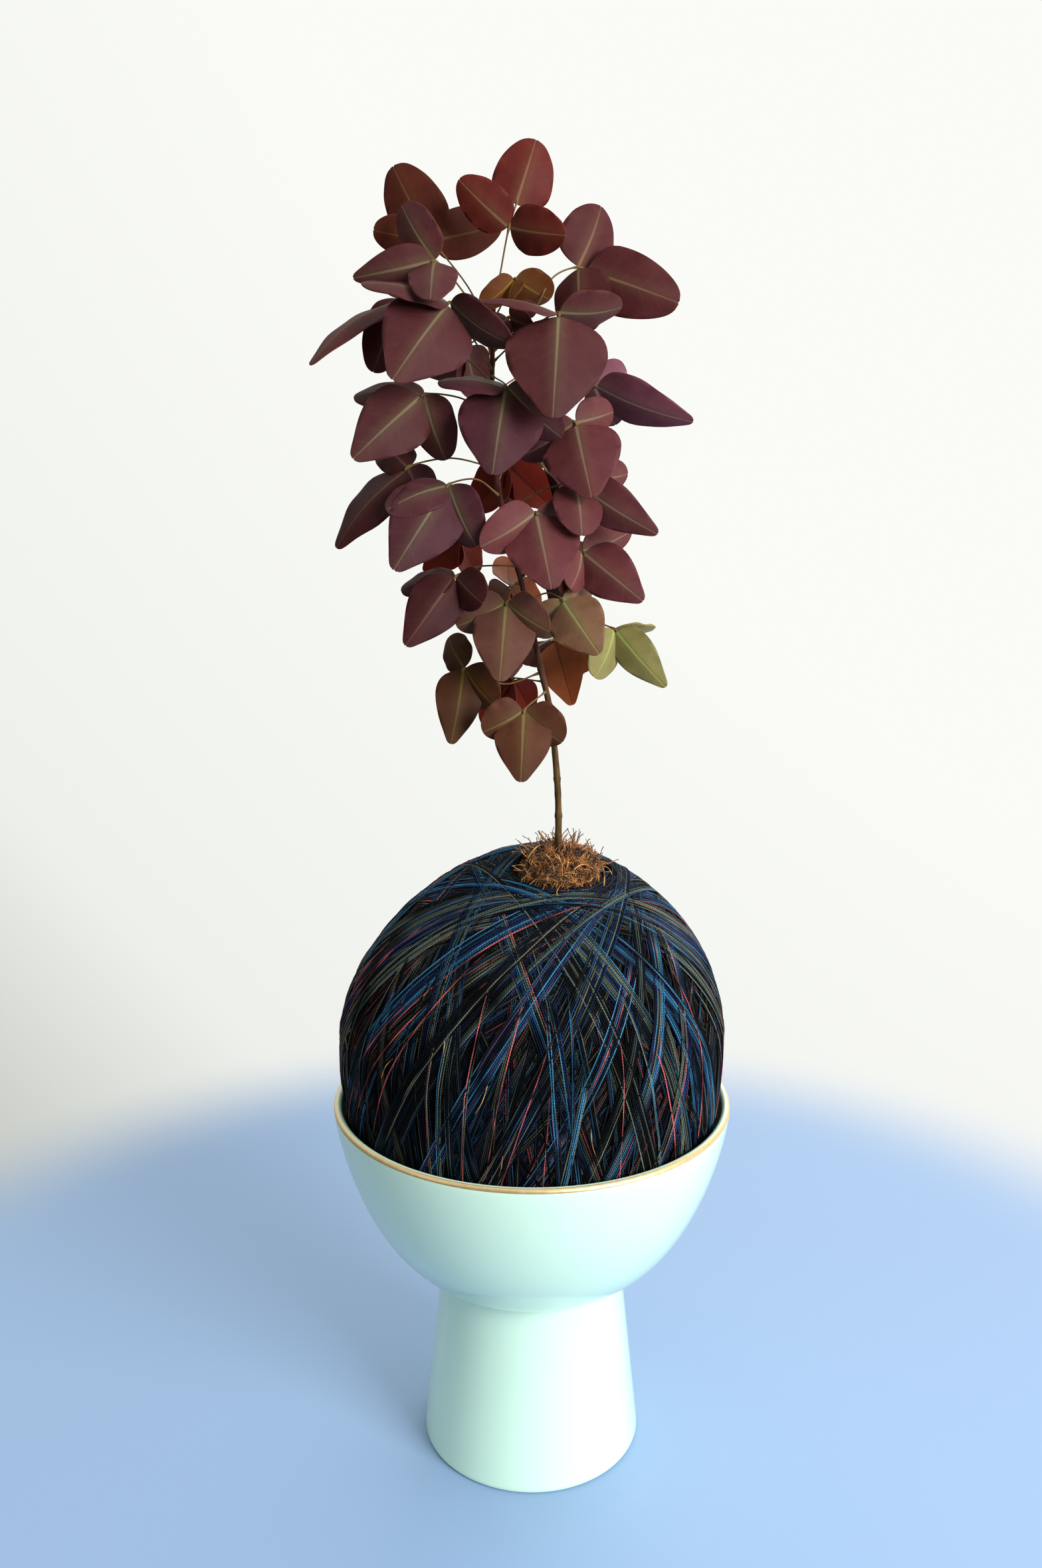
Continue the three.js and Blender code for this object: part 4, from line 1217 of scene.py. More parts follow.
def kinked_fibres(tree, fibres):
    """Fibres pushed off their line here and there."""
    wave = add(tree, "ShaderNodeTexNoise", {
        "Vector": add(tree, "GeometryNodeInputPosition"), "Scale": FIBRE_KINKS, "Detail": 0.0
    })
    centred = add(tree, "ShaderNodeVectorMath", {0: wave.outputs["Color"], 1: (0.5, 0.5, 0.5)},
                  operation="SUBTRACT")
    kink = add(tree, "ShaderNodeVectorMath", {0: centred, "Scale": FIBRE_KINK}, operation="SCALE")
    return add(tree, "GeometryNodeSetPosition", {"Geometry": fibres, "Offset": kink})


def toned_fibres(tree, fibres, share):
    """Stores each fibre's tone, half by chance and half painted light: lightest where it stands highest."""
    tone = add(tree, "FunctionNodeRandomValue", {"Min": 0.0, "Max": 1.0, "Seed": 21}, data_type="FLOAT")
    toned = add(tree, "GeometryNodeFieldOnDomain", {0: tone}, domain="CURVE", data_type="FLOAT")
    # Painted light and shade: dark at the fibre's root in the mat, and light higher along it
    middle = add(tree, "ShaderNodeMath", {0: share, 1: 2.2}, operation="MULTIPLY")
    high = add(tree, "ShaderNodeMath", {0: middle}, operation="SINE")
    base = add(tree, "ShaderNodeMath", {0: toned, 1: 0.5}, operation="MULTIPLY")
    tone_with_painted_light = add(tree, "ShaderNodeMath", {0: high, 1: 0.5, 2: base}, operation="MULTIPLY_ADD")
    return add(tree, "GeometryNodeStoreNamedAttribute", {
        "Geometry": fibres, "Name": "tone", "Value": tone_with_painted_light
    }, data_type="FLOAT", domain="POINT")


def coir_tree():
    """Geometry nodes that cover a patch with fibres: some arch out of it and back, others stand up."""
    tree, given = new_tree("coir_fibres", {
        "Count": "Int", "Fibre Diameter": "Float", "Fibre Length": "Float", "Standing Share": "Float",
        "Patch Area": "Float", "Seed": "Int",
    })
    arch = add(tree, "GeometryNodeCurveQuadraticBezier", {
        "Resolution": 9, "Start": (-0.5, 0, -0.16), "Middle": (0.05, 0, 0.5), "End": (0.5, 0, -0.12)
    })
    hair = add(tree, "GeometryNodeCurveQuadraticBezier", {
        "Resolution": 9, "Start": (0, 0, -0.15), "Middle": (0.02, 0, 0.35), "End": (0.3, 0, 0.72)
    })
    density = add(tree, "ShaderNodeMath", {0: given["Count"], 1: given["Patch Area"]}, operation="DIVIDE")
    rare = add(tree, "ShaderNodeMath", {0: density, 1: given["Standing Share"]}, operation="MULTIPLY")
    both = add(tree, "GeometryNodeJoinGeometry")
    for amount, shape, seed in ((density, arch, 0), (rare, hair, 40)):
        feed(tree, both.inputs[0], strewn_fibres(tree, given, shape, amount, seed))
    loose = add(tree, "GeometryNodeRealizeInstances", {"Geometry": both})
    share = add(tree, "GeometryNodeSplineParameter")
    toned = toned_fibres(tree, kinked_fibres(tree, loose), share)
    taper = add(tree, "ShaderNodeMapRange", {"Value": share, "To Min": 1.0, "To Max": 0.5})
    slim = add(tree, "GeometryNodeSetCurveRadius", {"Curve": toned, "Radius": taper})
    radius = add(tree, "ShaderNodeMath", {0: given["Fibre Diameter"], 1: 0.5}, operation="MULTIPLY")
    ring = add(tree, "GeometryNodeCurvePrimitiveCircle", {"Resolution": 4, "Radius": radius})
    skin = add(tree, "GeometryNodeCurveToMesh", {
        "Curve": slim, "Profile Curve": ring, "Fill Caps": True
    })
    end_tree(tree, given, skin)
    return tree


# Strays and curls: how deep they begin under the ball's surface and their radii at both ends, in
# millimetres, and their points
STRAY_DEPTH = 1.5
STRAY_RADII = (0.17, 0.07)
STRAY_POINTS = 12
CURL_DEPTH = -0.6
CURL_RADII = (0.26, 0.15)
CURL_POINTS = 24


def stray_line(angle, turn, draw):
    """A fibre that comes out between the threads and droops along the ball."""
    out = from_mouth(math.radians(angle), math.radians(turn))
    foot = ball_place(out, np.float64(STRAY_DEPTH))
    down = unit(from_mouth(math.radians(angle + 4), math.radians(turn)) - out)
    aside = np.cross(out, down) * draw.uniform(-0.6, 0.6)
    tip = foot + unit(down + aside + out * 0.25) * draw.uniform(5, 10)
    middle = (foot + tip) / 2 + out * draw.uniform(0.4, 1.2) + unit(aside) * draw.uniform(-1, 1)
    return even_curve([foot, middle, tip], STRAY_POINTS)


def curl_line(near, far, rise, draw):
    """A long fibre that curls over the tuft from one place to another."""
    foot, end = on_ball(*near, CURL_DEPTH), on_ball(*far, CURL_DEPTH)
    top = (foot + end) / 2 + MOUTH * rise
    lean = (end - foot) * draw.uniform(0.15, 0.3)
    up, down = foot * 0.35 + top * 0.65 - lean, end * 0.35 + top * 0.65 + lean
    return even_curve([foot, up, top, down, end], CURL_POINTS)


# Stem and leaves


def bark():
    """Young woody bark: olive and lightly fissured low down, smooth and dark red-brown above."""
    material, tree, place = new_material("bark")
    height = add(tree, "ShaderNodeSeparateXYZ", {0: place}).outputs["Z"]
    level = add(tree, "ShaderNodeMapRange", {
        "Value": height, "From Min": 260 * MM, "From Max": 370 * MM
    })
    age = add(tree, "ShaderNodeValToRGB", {"Fac": level}, stops=[
        (0.0, 0x4E3A1E), (0.4, 0x482C1C), (0.75, 0x3A1817), (1.0, 0x4C201E),
    ])
    stretched = add(tree, "ShaderNodeMapping", {0: place, "Scale": (1, 1, 0.16)})
    # The fissures are 1.3 mm wide and six times as long
    streak = add(tree, "ShaderNodeTexNoise", {
        "Vector": stretched, "Scale": scale_of(1.333), "Detail": 4.0
    })
    tint = add(tree, "ShaderNodeMapRange", {
        "Value": streak, "From Min": 0.3, "From Max": 0.7, "To Min": 0.35, "To Max": 1.7
    })
    lit = add(tree, "ShaderNodeVectorMath", {0: age, "Scale": tint}, operation="SCALE")
    bump = add(tree, "ShaderNodeBump", {"Height": streak, "Strength": 0.8, "Distance": 0.3 * MM})
    shade(tree, Base_Color=lit, Roughness=0.75, Specular_IOR_Level=0.2, Normal=bump)
    return material


def midrib(tree, across, share):
    """The midrib's strength: 0.9 mm wide at the base, and narrower towards the tip."""
    edge = add(tree, "ShaderNodeMapRange", {"Value": share, "To Min": 0.4 * MM, "To Max": 0.18 * MM})
    near = add(tree, "ShaderNodeMath", {0: across, 1: edge}, operation="DIVIDE")
    return add(tree, "ShaderNodeMapRange", {
        "Value": near, "From Min": 0.1, "From Max": 2.2, "To Min": 1.0, "To Max": 0.0
    }, interpolation_type="SMOOTHSTEP")


def side_veins(tree, place, across, along, spacing):
    """The side veins' strength. They leave the midrib at about 50 degrees and wander a little."""
    slope = add(tree, "ShaderNodeMath", {0: across, 1: -0.75, 2: along}, operation="MULTIPLY_ADD")
    wander = add(tree, "ShaderNodeTexNoise", {
        "Vector": place, "Scale": scale_of(8.333), "Detail": 1.0
    })
    bent = add(tree, "ShaderNodeMath", {0: wander, 1: 2.2 * MM, 2: slope}, operation="MULTIPLY_ADD")
    count = add(tree, "ShaderNodeMath", {0: bent, 1: spacing}, operation="DIVIDE")
    wave = add(tree, "ShaderNodeMath", {0: count, 1: 1.0}, operation="PINGPONG")
    return add(tree, "ShaderNodeMapRange", {
        "Value": wave, "From Min": 0.0, "From Max": 0.13, "To Min": 1.0, "To Max": 0.0
    }, interpolation_type="SMOOTHSTEP")


def mottled(tree, place, tone, mottle):
    """The leaf's tone, lighter and darker with the mottle, and cooler and warmer in large patches."""
    level = add(tree, "ShaderNodeMapRange", {"Value": mottle, "To Min": 0.72, "To Max": 1.3})
    # The patches are about two thirds of a leaflet's length across
    patch = add(tree, "ShaderNodeTexNoise", {
        "Vector": place, "Scale": scale_of(22.2), "Detail": 2.0
    })
    cast = add(tree, "ShaderNodeMix", {0: patch, 6: (0.85, 0.95, 1.12, 1), 7: (1.15, 1.05, 0.9, 1)},
               data_type="RGBA")
    lit = add(tree, "ShaderNodeVectorMath", {0: tone, "Scale": level}, operation="SCALE")
    return add(tree, "ShaderNodeVectorMath", {0: lit, 1: cast}, operation="MULTIPLY")


def leaf_blade(settings):
    """A satin leaf blade: its own tone, a pale midrib, faint side veins and a fine mottle."""
    material, tree, place = new_material("leaf_blade")
    tone, rib_tone = (
        add(tree, "ShaderNodeAttribute", attribute_name=name).outputs["Color"]
        for name in ("tone", "rib_tone")
    )
    blade = add(tree, "ShaderNodeAttribute", attribute_name="blade").outputs["Vector"]
    parts = add(tree, "ShaderNodeSeparateXYZ", {0: blade}).outputs
    across = add(tree, "ShaderNodeMath", {0: parts["X"]}, operation="ABSOLUTE")
    share = parts["Z"]
    rib = midrib(tree, across, share)
    vein = side_veins(tree, place, across, parts["Y"], settings.vein_spacing)
    mottle = add(tree, "ShaderNodeTexNoise", {
        "Vector": place, "Scale": scale_of(3.333), "Detail": 5.0, "Roughness": 0.6
    })
    # The rib's colour shows beside the midrib, most at the base, in the veins, and in the rib itself
    green = add(tree, "ShaderNodeMapRange", {
        "Value": across, "From Max": 4.5 * MM, "To Min": 0.2, "To Max": 0.0
    }, interpolation_type="SMOOTHSTEP")
    lower = add(tree, "ShaderNodeMapRange", {"Value": share, "To Min": 1.0, "To Max": 0.2})
    reach = add(tree, "ShaderNodeMapRange", {
        "Value": across, "From Min": 0.5 * MM, "From Max": 9 * MM, "To Min": 0.06, "To Max": 0.015
    })
    fade = add(tree, "ShaderNodeMapRange", {"Value": share, "To Min": 0.9, "To Max": 0.3})
    colour = mottled(tree, place, tone, mottle)
    for mark, amount in ((green, lower), (vein, reach), (rib, fade)):
        strength = add(tree, "ShaderNodeMath", {0: mark, 1: amount}, operation="MULTIPLY")
        colour = add(tree, "ShaderNodeMix", {0: strength, 6: colour, 7: rib_tone}, data_type="RGBA")
    relief = add(tree, "ShaderNodeMath", {0: vein, 1: 0.12, 2: rib}, operation="MULTIPLY_ADD")
    grain = add(tree, "ShaderNodeMath", {0: mottle, 1: 0.5, 2: relief}, operation="MULTIPLY_ADD")
    bump = add(tree, "ShaderNodeBump", {"Height": grain, "Strength": 0.5, "Distance": 0.2 * MM},
               invert=True)
    shade(tree, Base_Color=colour, Roughness=0.6, Specular_IOR_Level=0.14, Subsurface_Weight=0.25,
          Subsurface_Radius=(1.0, 0.35, 0.15), Subsurface_Scale=0.6 * MM, Normal=bump)
    return material


def petiole_skin():
    """Wiry leaf stalks, brown-green and smooth."""
    material, tree, place = new_material("petiole_skin")
    drift = add(tree, "ShaderNodeTexNoise", {
        "Vector": place, "Scale": scale_of(11.11), "Detail": 2.0
    })
    colour = add(tree, "ShaderNodeValToRGB", {"Fac": drift}, stops=[
        (0.35, 0x5A4528), (0.5, 0x786038), (0.65, 0x6E4430),
    ])
    shade(tree, Base_Color=colour, Roughness=0.6, Specular_IOR_Level=0.2)
    return material


STEM_POINTS = even_curve(STEM_ROUTE, 260)


def stem_at(height):
    """The stem's middle at a height, and its radius there."""
    i = int(np.argmin(abs(STEM_POINTS[:, 2] - height)))
    share = i / (len(STEM_POINTS) - 1)
    return STEM_POINTS[i], STEM_FOOT + (STEM_TIP - STEM_FOOT) * share


# A leaflet's rows along it and columns across, and how its drawn width is split between its halves
ROWS, COLUMNS = 26, 15
WIDTH_SPLIT = 2.14
# The narrowest half width in millimetres, and the depth of the blade's upper side under its line
NARROWEST = 0.12
BLADE_DEPTH = 0.2
# Shares of a leaflet's length: how far it bulges, how far its tip droops, and the notch at its tip
BULGE = 0.07
DROOP = 0.02
NOTCH = 0.012
# The ripple of its edge as a share of its half width, and the least and most waves along it
RIPPLE = 0.035
WAVES = (2.0, 3.2)


def blade_faces():
    """Faces of the upper and the under side of a leaflet, and of the edge between them."""
    under = ROWS * COLUMNS
    grid = np.arange(under).reshape(ROWS, COLUMNS)
    faces = []
    for i in range(ROWS - 1):
        for j in range(COLUMNS - 1):
            quad = [grid[i, j], grid[i, j + 1], grid[i + 1, j + 1], grid[i + 1, j]]
            faces.append(quad)
            faces.append([under + k for k in reversed(quad)])
    edge = [*grid[0], *grid[1:, -1], *grid[-1, -2::-1], *grid[-2:0:-1, 0]]
    for a, b in zip(edge, edge[1:] + edge[:1]):
        faces.append([a, under + a, under + b, b])
    return faces


def leaflet(root, tip, width, turn, facing, outline, settings, draw):
    """Points, faces and blade places of one leaflet. It arches, folds along its midrib and waves."""
    root, tip = np.asarray(root, float), np.asarray(tip, float)
    along = tip - root
    length = float(np.linalg.norm(along))
    forward = along / length
    side = Matrix.Rotation(turn, 3, Vector(forward)) @ Vector(unit(np.cross(along, facing)))
    face = unit(np.cross(side, along))
    share = 0.5 - 0.5 * np.cos(np.linspace(0, np.pi, ROWS))
    shape = catmull(outline, np.linspace(0, 1, 120))
    half = np.maximum(np.interp(share, shape[:, 0], shape[:, 1]) * width / WIDTH_SPLIT, NARROWEST)
    share, half = share[:, None], half[:, None]
    cross = np.linspace(-1, 1, COLUMNS)
    x = half * cross
    fold = math.tan(settings.fold) * (np.sqrt(x**2 + 1.0) - 1.0)
    start, beat = draw.uniform(0, 6.28), draw.uniform(*WAVES)
    ripple = np.sin(beat * 2 * np.pi * share + start) * np.abs(cross) ** 2.5 * np.sign(cross)
    lift = BULGE * length * np.sin(np.pi * share) - fold + RIPPLE * ripple * half
    droop = -DROOP * length * draw.uniform(0.2, 1) * share**3
    notch = NOTCH * length * np.clip(1 - abs(cross) * 2.5, 0, 1) * (share > 0.97)
    upper = (root + (share * length - notch)[..., None] * forward
             + x[..., None] * np.array(side) + (lift + droop)[..., None] * face)
    drops = np.array([-BLADE_DEPTH, -BLADE_DEPTH - settings.thickness / MM])
    points = (upper[None] + drops[:, None, None, None] * face).reshape(-1, 3)
    place = np.stack([x * MM, share * length * MM + 0 * x, share + 0 * x], axis=-1)
    return points, blade_faces(), np.concatenate([place.reshape(-1, 3)] * 2)


# A petiole swells where it meets its leaflets and the stem: by how much and how far along it
SWELLING = 0.3
HUB_REACH = 1.4
FOOT_REACH = 2.2
# The first leaflet overlaps its stalk by this share. The others begin this far from the hub.
OVERLAP = 0.1
SIDE_START = 0.4
# How much a leaf's tone varies from its kind's, and a leaflet's from its leaf's
LEAF_SHINE = (0.96, 1.05)
LEAFLET_SHINE = (0.93, 1.08)


def shone(colour, share):
    """A colour made lighter or darker by a share."""
    return [c * share for c in colour[:3]] + [1]


def petiole(entry, stalk, radius):
    """Points and faces of a leaf's stalk, from inside the stem to where its first leaflet begins."""
    _, start_height, by, hub, leaflets = entry
    hub = np.array(hub, float)
    middle, stem_radius = stem_at(start_height)
    towards = np.array(by[0] if by else hub, float)
    root = hub + stalk * (np.array(leaflets[0][0], float) - hub)
    line = even_curve([middle + unit(towards - middle) * stem_radius / 2, *by, hub, root], 40)
    swell = np.exp(-((np.linalg.norm(line - hub, axis=1) / HUB_REACH) ** 2)) * SWELLING
    foot = np.exp(-((np.linalg.norm(line - line[0], axis=1) / FOOT_REACH) ** 2)) * SWELLING
    return tube(line, radius + swell + foot, 8)


def leaf_piece(name, entry, facing, stalk, settings, materials, draw):
    """One leaf: a petiole from the stem to the hub and three leaflets."""
    tone, _, _, hub, leaflets = entry
    hub = np.array(hub, float)
    blade_hex, rib_hex = LEAF_TONES[tone]
    colour = shone(linear(blade_hex), draw.uniform(*LEAF_SHINE))
    rib = linear(rib_hex)
    build = Builder()
    points, faces = petiole(entry, stalk, settings.petiole / MM)
    build.add(points, faces, 1, blade=np.zeros((len(points), 3)), tone=[colour] * len(points),
              rib_tone=[rib] * len(points))
    for k, (tip, width, turn) in enumerate(leaflets):
        way = np.array(tip, float) - hub
        if k == 0:
            root = hub + stalk * way
            root = root + OVERLAP * (hub - root)
            outline = STANDING if stalk > SHORT_STALK or tip[2] > hub[2] else TERMINAL
        else:
            root = hub + SIDE_START * unit(way)
            outline = SMALL if width < SMALL_WIDTH else LATERAL
        points, faces, places = leaflet(
            root, tip, width, math.radians(turn), facing, outline, settings, draw
        )
        own = shone(colour, draw.uniform(*LEAFLET_SHINE))
        build.add(points, faces, 0, blade=places, tone=[own] * len(points),
                  rib_tone=[rib] * len(points))
    kinds = {"blade": "FLOAT_VECTOR", "tone": "FLOAT_COLOR", "rib_tone": "FLOAT_COLOR"}
    attributes = {key: (kind, build.attributes[key]) for key, kind in kinds.items()}
    piece = make_piece(name, build.points, build.faces, materials, attributes, build.face_material)
    outward(piece)
    return piece


# Operators


class KOKEDAMA_OT_stage(bpy.types.Operator):
    """Make the floor, the soft lights and the camera"""

    bl_idname = "kokedama.stage"
    bl_label = "Stage"

    # Each light: its place and size in metres, its share of the key's power, and its colour
    LIGHTS = {
        "key": ((0.8, -0.85, 0.62), 0.6, 1, (1, 1, 1)),
        "window": ((0.45, 0.9, 0.7), 0.9, 0.2, (1, 1, 1)),
        "fill": ((-0.95, -0.6, 0.75), 0.7, 0.07, (1, 0.86, 0.74)),
    }
    # Where the lights point, in metres
    LIT_PLACE = (0, 0, 0.24)
    # Most light comes from behind and from the right, and little from the left and from the front
    BRIGHT_SIDE = (0.62, 0.55, 0.56)
    SKY_STOPS = [(0.1, 0x585D58), (0.4, 0x90978F), (0.58, 0xEEF0EB), (0.8, 0xFAFBF7)]
    # The floor's radius in millimetres, the radii between which it fades out, and its corners
    FLOOR_REACH = 450
    FLOOR_SIDES = 96
    FADE_FROM, FADE_TO = 270, 420

    def execute(self, context):
        settings = context.scene.kokedama_stage
        self.add_camera(context)
        self.add_floor(settings)
        self.add_sky(context.scene, settings)
        for name, entry in self.LIGHTS.items():
            self.add_light(name, settings.key_power, *entry)
        context.scene.view_settings.view_transform = "Standard"
        return {"FINISHED"}

    def add_camera(self, context):
        data = bpy.data.cameras.new("camera")
        data.sensor_width = SENSOR
        data.lens = SENSOR * PHOTO_FOCAL / PHOTO_HEIGHT
        data.clip_start = 0.01
        camera = bpy.data.objects.new("camera", data)
        camera.location = Vector(CAMERA_PLACE) * MM
        camera.rotation_euler = (math.radians(90 - CAMERA_PITCH), 0, 0)
        context.scene.collection.objects.link(camera)
        context.scene.camera = camera

    def add_floor(self, settings):
        # Satin paint, which takes a soft shadow and a faint reflection of the bowl
        material, tree, place = new_material("painted_floor")
        distance = add(tree, "ShaderNodeVectorMath", {0: place}, operation="LENGTH")
        clear = add(tree, "ShaderNodeMapRange", {
            "Value": distance, "From Min": self.FADE_FROM * MM, "From Max": self.FADE_TO * MM,
            "To Min": 1.0, "To Max": 0.0,
        }, interpolation_type="SMOOTHERSTEP")
        shade(tree, Base_Color=(*settings.floor, 1), Roughness=0.55, Alpha=clear)
        turns = np.linspace(0, 2 * np.pi, self.FLOOR_SIDES, endpoint=False)
        rim = [(self.FLOOR_REACH * math.cos(t), self.FLOOR_REACH * math.sin(t), 0) for t in turns]
        make_piece("floor", rim, [range(self.FLOOR_SIDES)], [material])

    def add_sky(self, scene, settings):
        world = bpy.data.worlds.new("sky")
        world.use_nodes = True
        scene.world = world
        tree = world.node_tree
        background = tree.nodes["Background"]
        direction = add(tree, "ShaderNodeTexCoord").outputs["Generated"]
        toward = add(tree, "ShaderNodeVectorMath", {0: direction, 1: self.BRIGHT_SIDE},
                     operation="DOT_PRODUCT")
        share = add(tree, "ShaderNodeMapRange", {"Value": toward, "From Min": -1.0, "From Max": 1.0})
        colour = add(tree, "ShaderNodeValToRGB", {"Fac": share}, stops=self.SKY_STOPS)
        feed(tree, background.inputs["Color"], colour)
        background.inputs["Strength"].default_value = settings.sky_strength

    def add_light(self, name, power, place, size, share, colour):
        data = bpy.data.lights.new(name, "AREA")
        data.size = size
        data.energy = power * share
        data.color = colour
        light = bpy.data.objects.new(name, data)
        light.location = place
        aim = Vector(self.LIT_PLACE) - Vector(place)
        light.rotation_euler = aim.to_track_quat("-Z", "Y").to_euler()
        bpy.context.scene.collection.objects.link(light)


class KOKEDAMA_OT_bowl(bpy.types.Operator):
    """Turn the glazed pedestal bowl with its gilt lip"""

    bl_idname = "kokedama.bowl"
    bl_label = "Bowl"

    # The gilt lies on the lip, above this height and outside this radius. The clay is bare where it stands.
    GILT_HEIGHT = RIM_HEIGHT
    GILT_RADIUS = RIM_RADIUS - 0.95
    CLAY_HEIGHT = 0.05

    def execute(self, context):
        settings = context.scene.kokedama_bowl
        points, faces = lathe(bowl_profile(), settings.segments)
        spots = np.array(points)
        kinds = []
        for face in faces:
            radius = np.hypot(spots[list(face), 0], spots[list(face), 1]).mean()
            height = spots[list(face), 2].mean()
            gilt = height > self.GILT_HEIGHT and radius > self.GILT_RADIUS
            kinds.append(1 if gilt else 2 if height < self.CLAY_HEIGHT else 0)
        materials = [glazed_stoneware(settings), fired_gilt(settings), bare_clay()]
        piece = make_piece("pedestal_bowl", points, faces, materials, face_material=kinds)
        outward(piece)
        dress(piece, "glazed_ceramic", "bowl")
        return {"FINISHED"}


class KOKEDAMA_OT_yarn(bpy.types.Operator):
    """Wind the ball with bands of variegated yarn"""

    bl_idname = "kokedama.yarn"
    bl_label = "Yarn"

    LAYERS = ("yarn_under", "yarn_lower", "yarn_middle", "yarn_upper", "yarn_over")
    # How far a thread lies off its row at most, how much its tone differs from its band's, and how coral
    # thins out from the lowest layer upwards
    LOOSENESS = 0.25 * MM
    TONE_SPREAD = 0.5
    ACCENT_LOWEST = 1.3
    ACCENT_FALL = 0.25
    # The top of the winding is the height that this share of the last bands' places stay under
    LAST_BANDS = 60
    TOP_SHARE = 0.97
    # The bed's wall and its depth under the lowest threads, in millimetres, and its faces round the ball
    BED_WALL = 0.9
    BED_DEPTH = 0.1
    BED_TURNS = 120
    # How far the bed reaches from the mouth, in degrees, and its rows outside and inside
    BED_END = 176
    BED_ROWS = (60, 30)

    def execute(self, context):
        settings = context.scene.kokedama_yarn
        self.add_bed(settings)
        bands = wound_bands(settings)
        heights = np.concatenate([band[2] for band in bands[-self.LAST_BANDS:]])
        top = float(np.quantile(heights, self.TOP_SHARE))
        material = sock_yarn()
        tree = yarn_tree()
        load = np.cumsum([len(band[0]) * band[3] for band in bands])
        cuts = np.searchsorted(load, load[-1] * np.linspace(0, 1, len(self.LAYERS) + 1))
        for i, name in enumerate(self.LAYERS):
            share = bands[cuts[i]:cuts[i + 1] + 1]
            piece = self.add_layer(name, share, settings, top, tree, material, i)
            dress(piece, "yarn", "yarn_wrap")
        return {"FINISHED"}

    def add_layer(self, name, bands, settings, top, tree, material, number):
        points, edges, attributes = band_lines(bands, settings.build / MM, top)
        piece = make_piece(name, points, [], [], attributes)
        mesh = piece.data
        mesh.edges.add(len(edges))
        mesh.edges.foreach_set("vertices", np.array(edges, np.int32).ravel())
        mesh.update()
        accent = settings.accent * (self.ACCENT_LOWEST - self.ACCENT_FALL * number)
        return grown(piece, tree, {
            "Thread Diameter": settings.thread, "Thread Spacing": settings.spacing,
            "Looseness": self.LOOSENESS, "Tone Spread": self.TONE_SPREAD, "Accent Share": accent,
            "Seed": settings.seed + number, "Material": material,
        })

    def add_bed(self, settings):
        outer = settings.build / MM + self.BED_DEPTH
        inner = outer + self.BED_WALL
        edge = MOUTH_ANGLE + 1
        rows = [(180, outer)]
        rows += [(angle, outer) for angle in np.linspace(self.BED_END, edge, self.BED_ROWS[0])]
        rows += [(angle, inner) for angle in np.linspace(edge, self.BED_END, self.BED_ROWS[1])]
        rows.append((180, inner))
        points, faces = mouth_shell(rows, self.BED_TURNS)
        # The bed's lines lead away from the mouth. They are 4 mm wide at most, and four times as long.
        spin = np.linspace(0, 120, self.BED_TURNS, endpoint=False)
        around = [(0, 0, 0)]
        for angle, _ in rows[1:-1]:
            around += [(s, angle / 12, 0) for s in spin]
        around.append((0, 0, 0))
        piece = make_piece("yarn_bed", points, faces, [yarn_bed_material()],
                           {"around": ("FLOAT_VECTOR", around)})
        outward(piece)
        dress(piece, "yarn", "yarn_wrap")


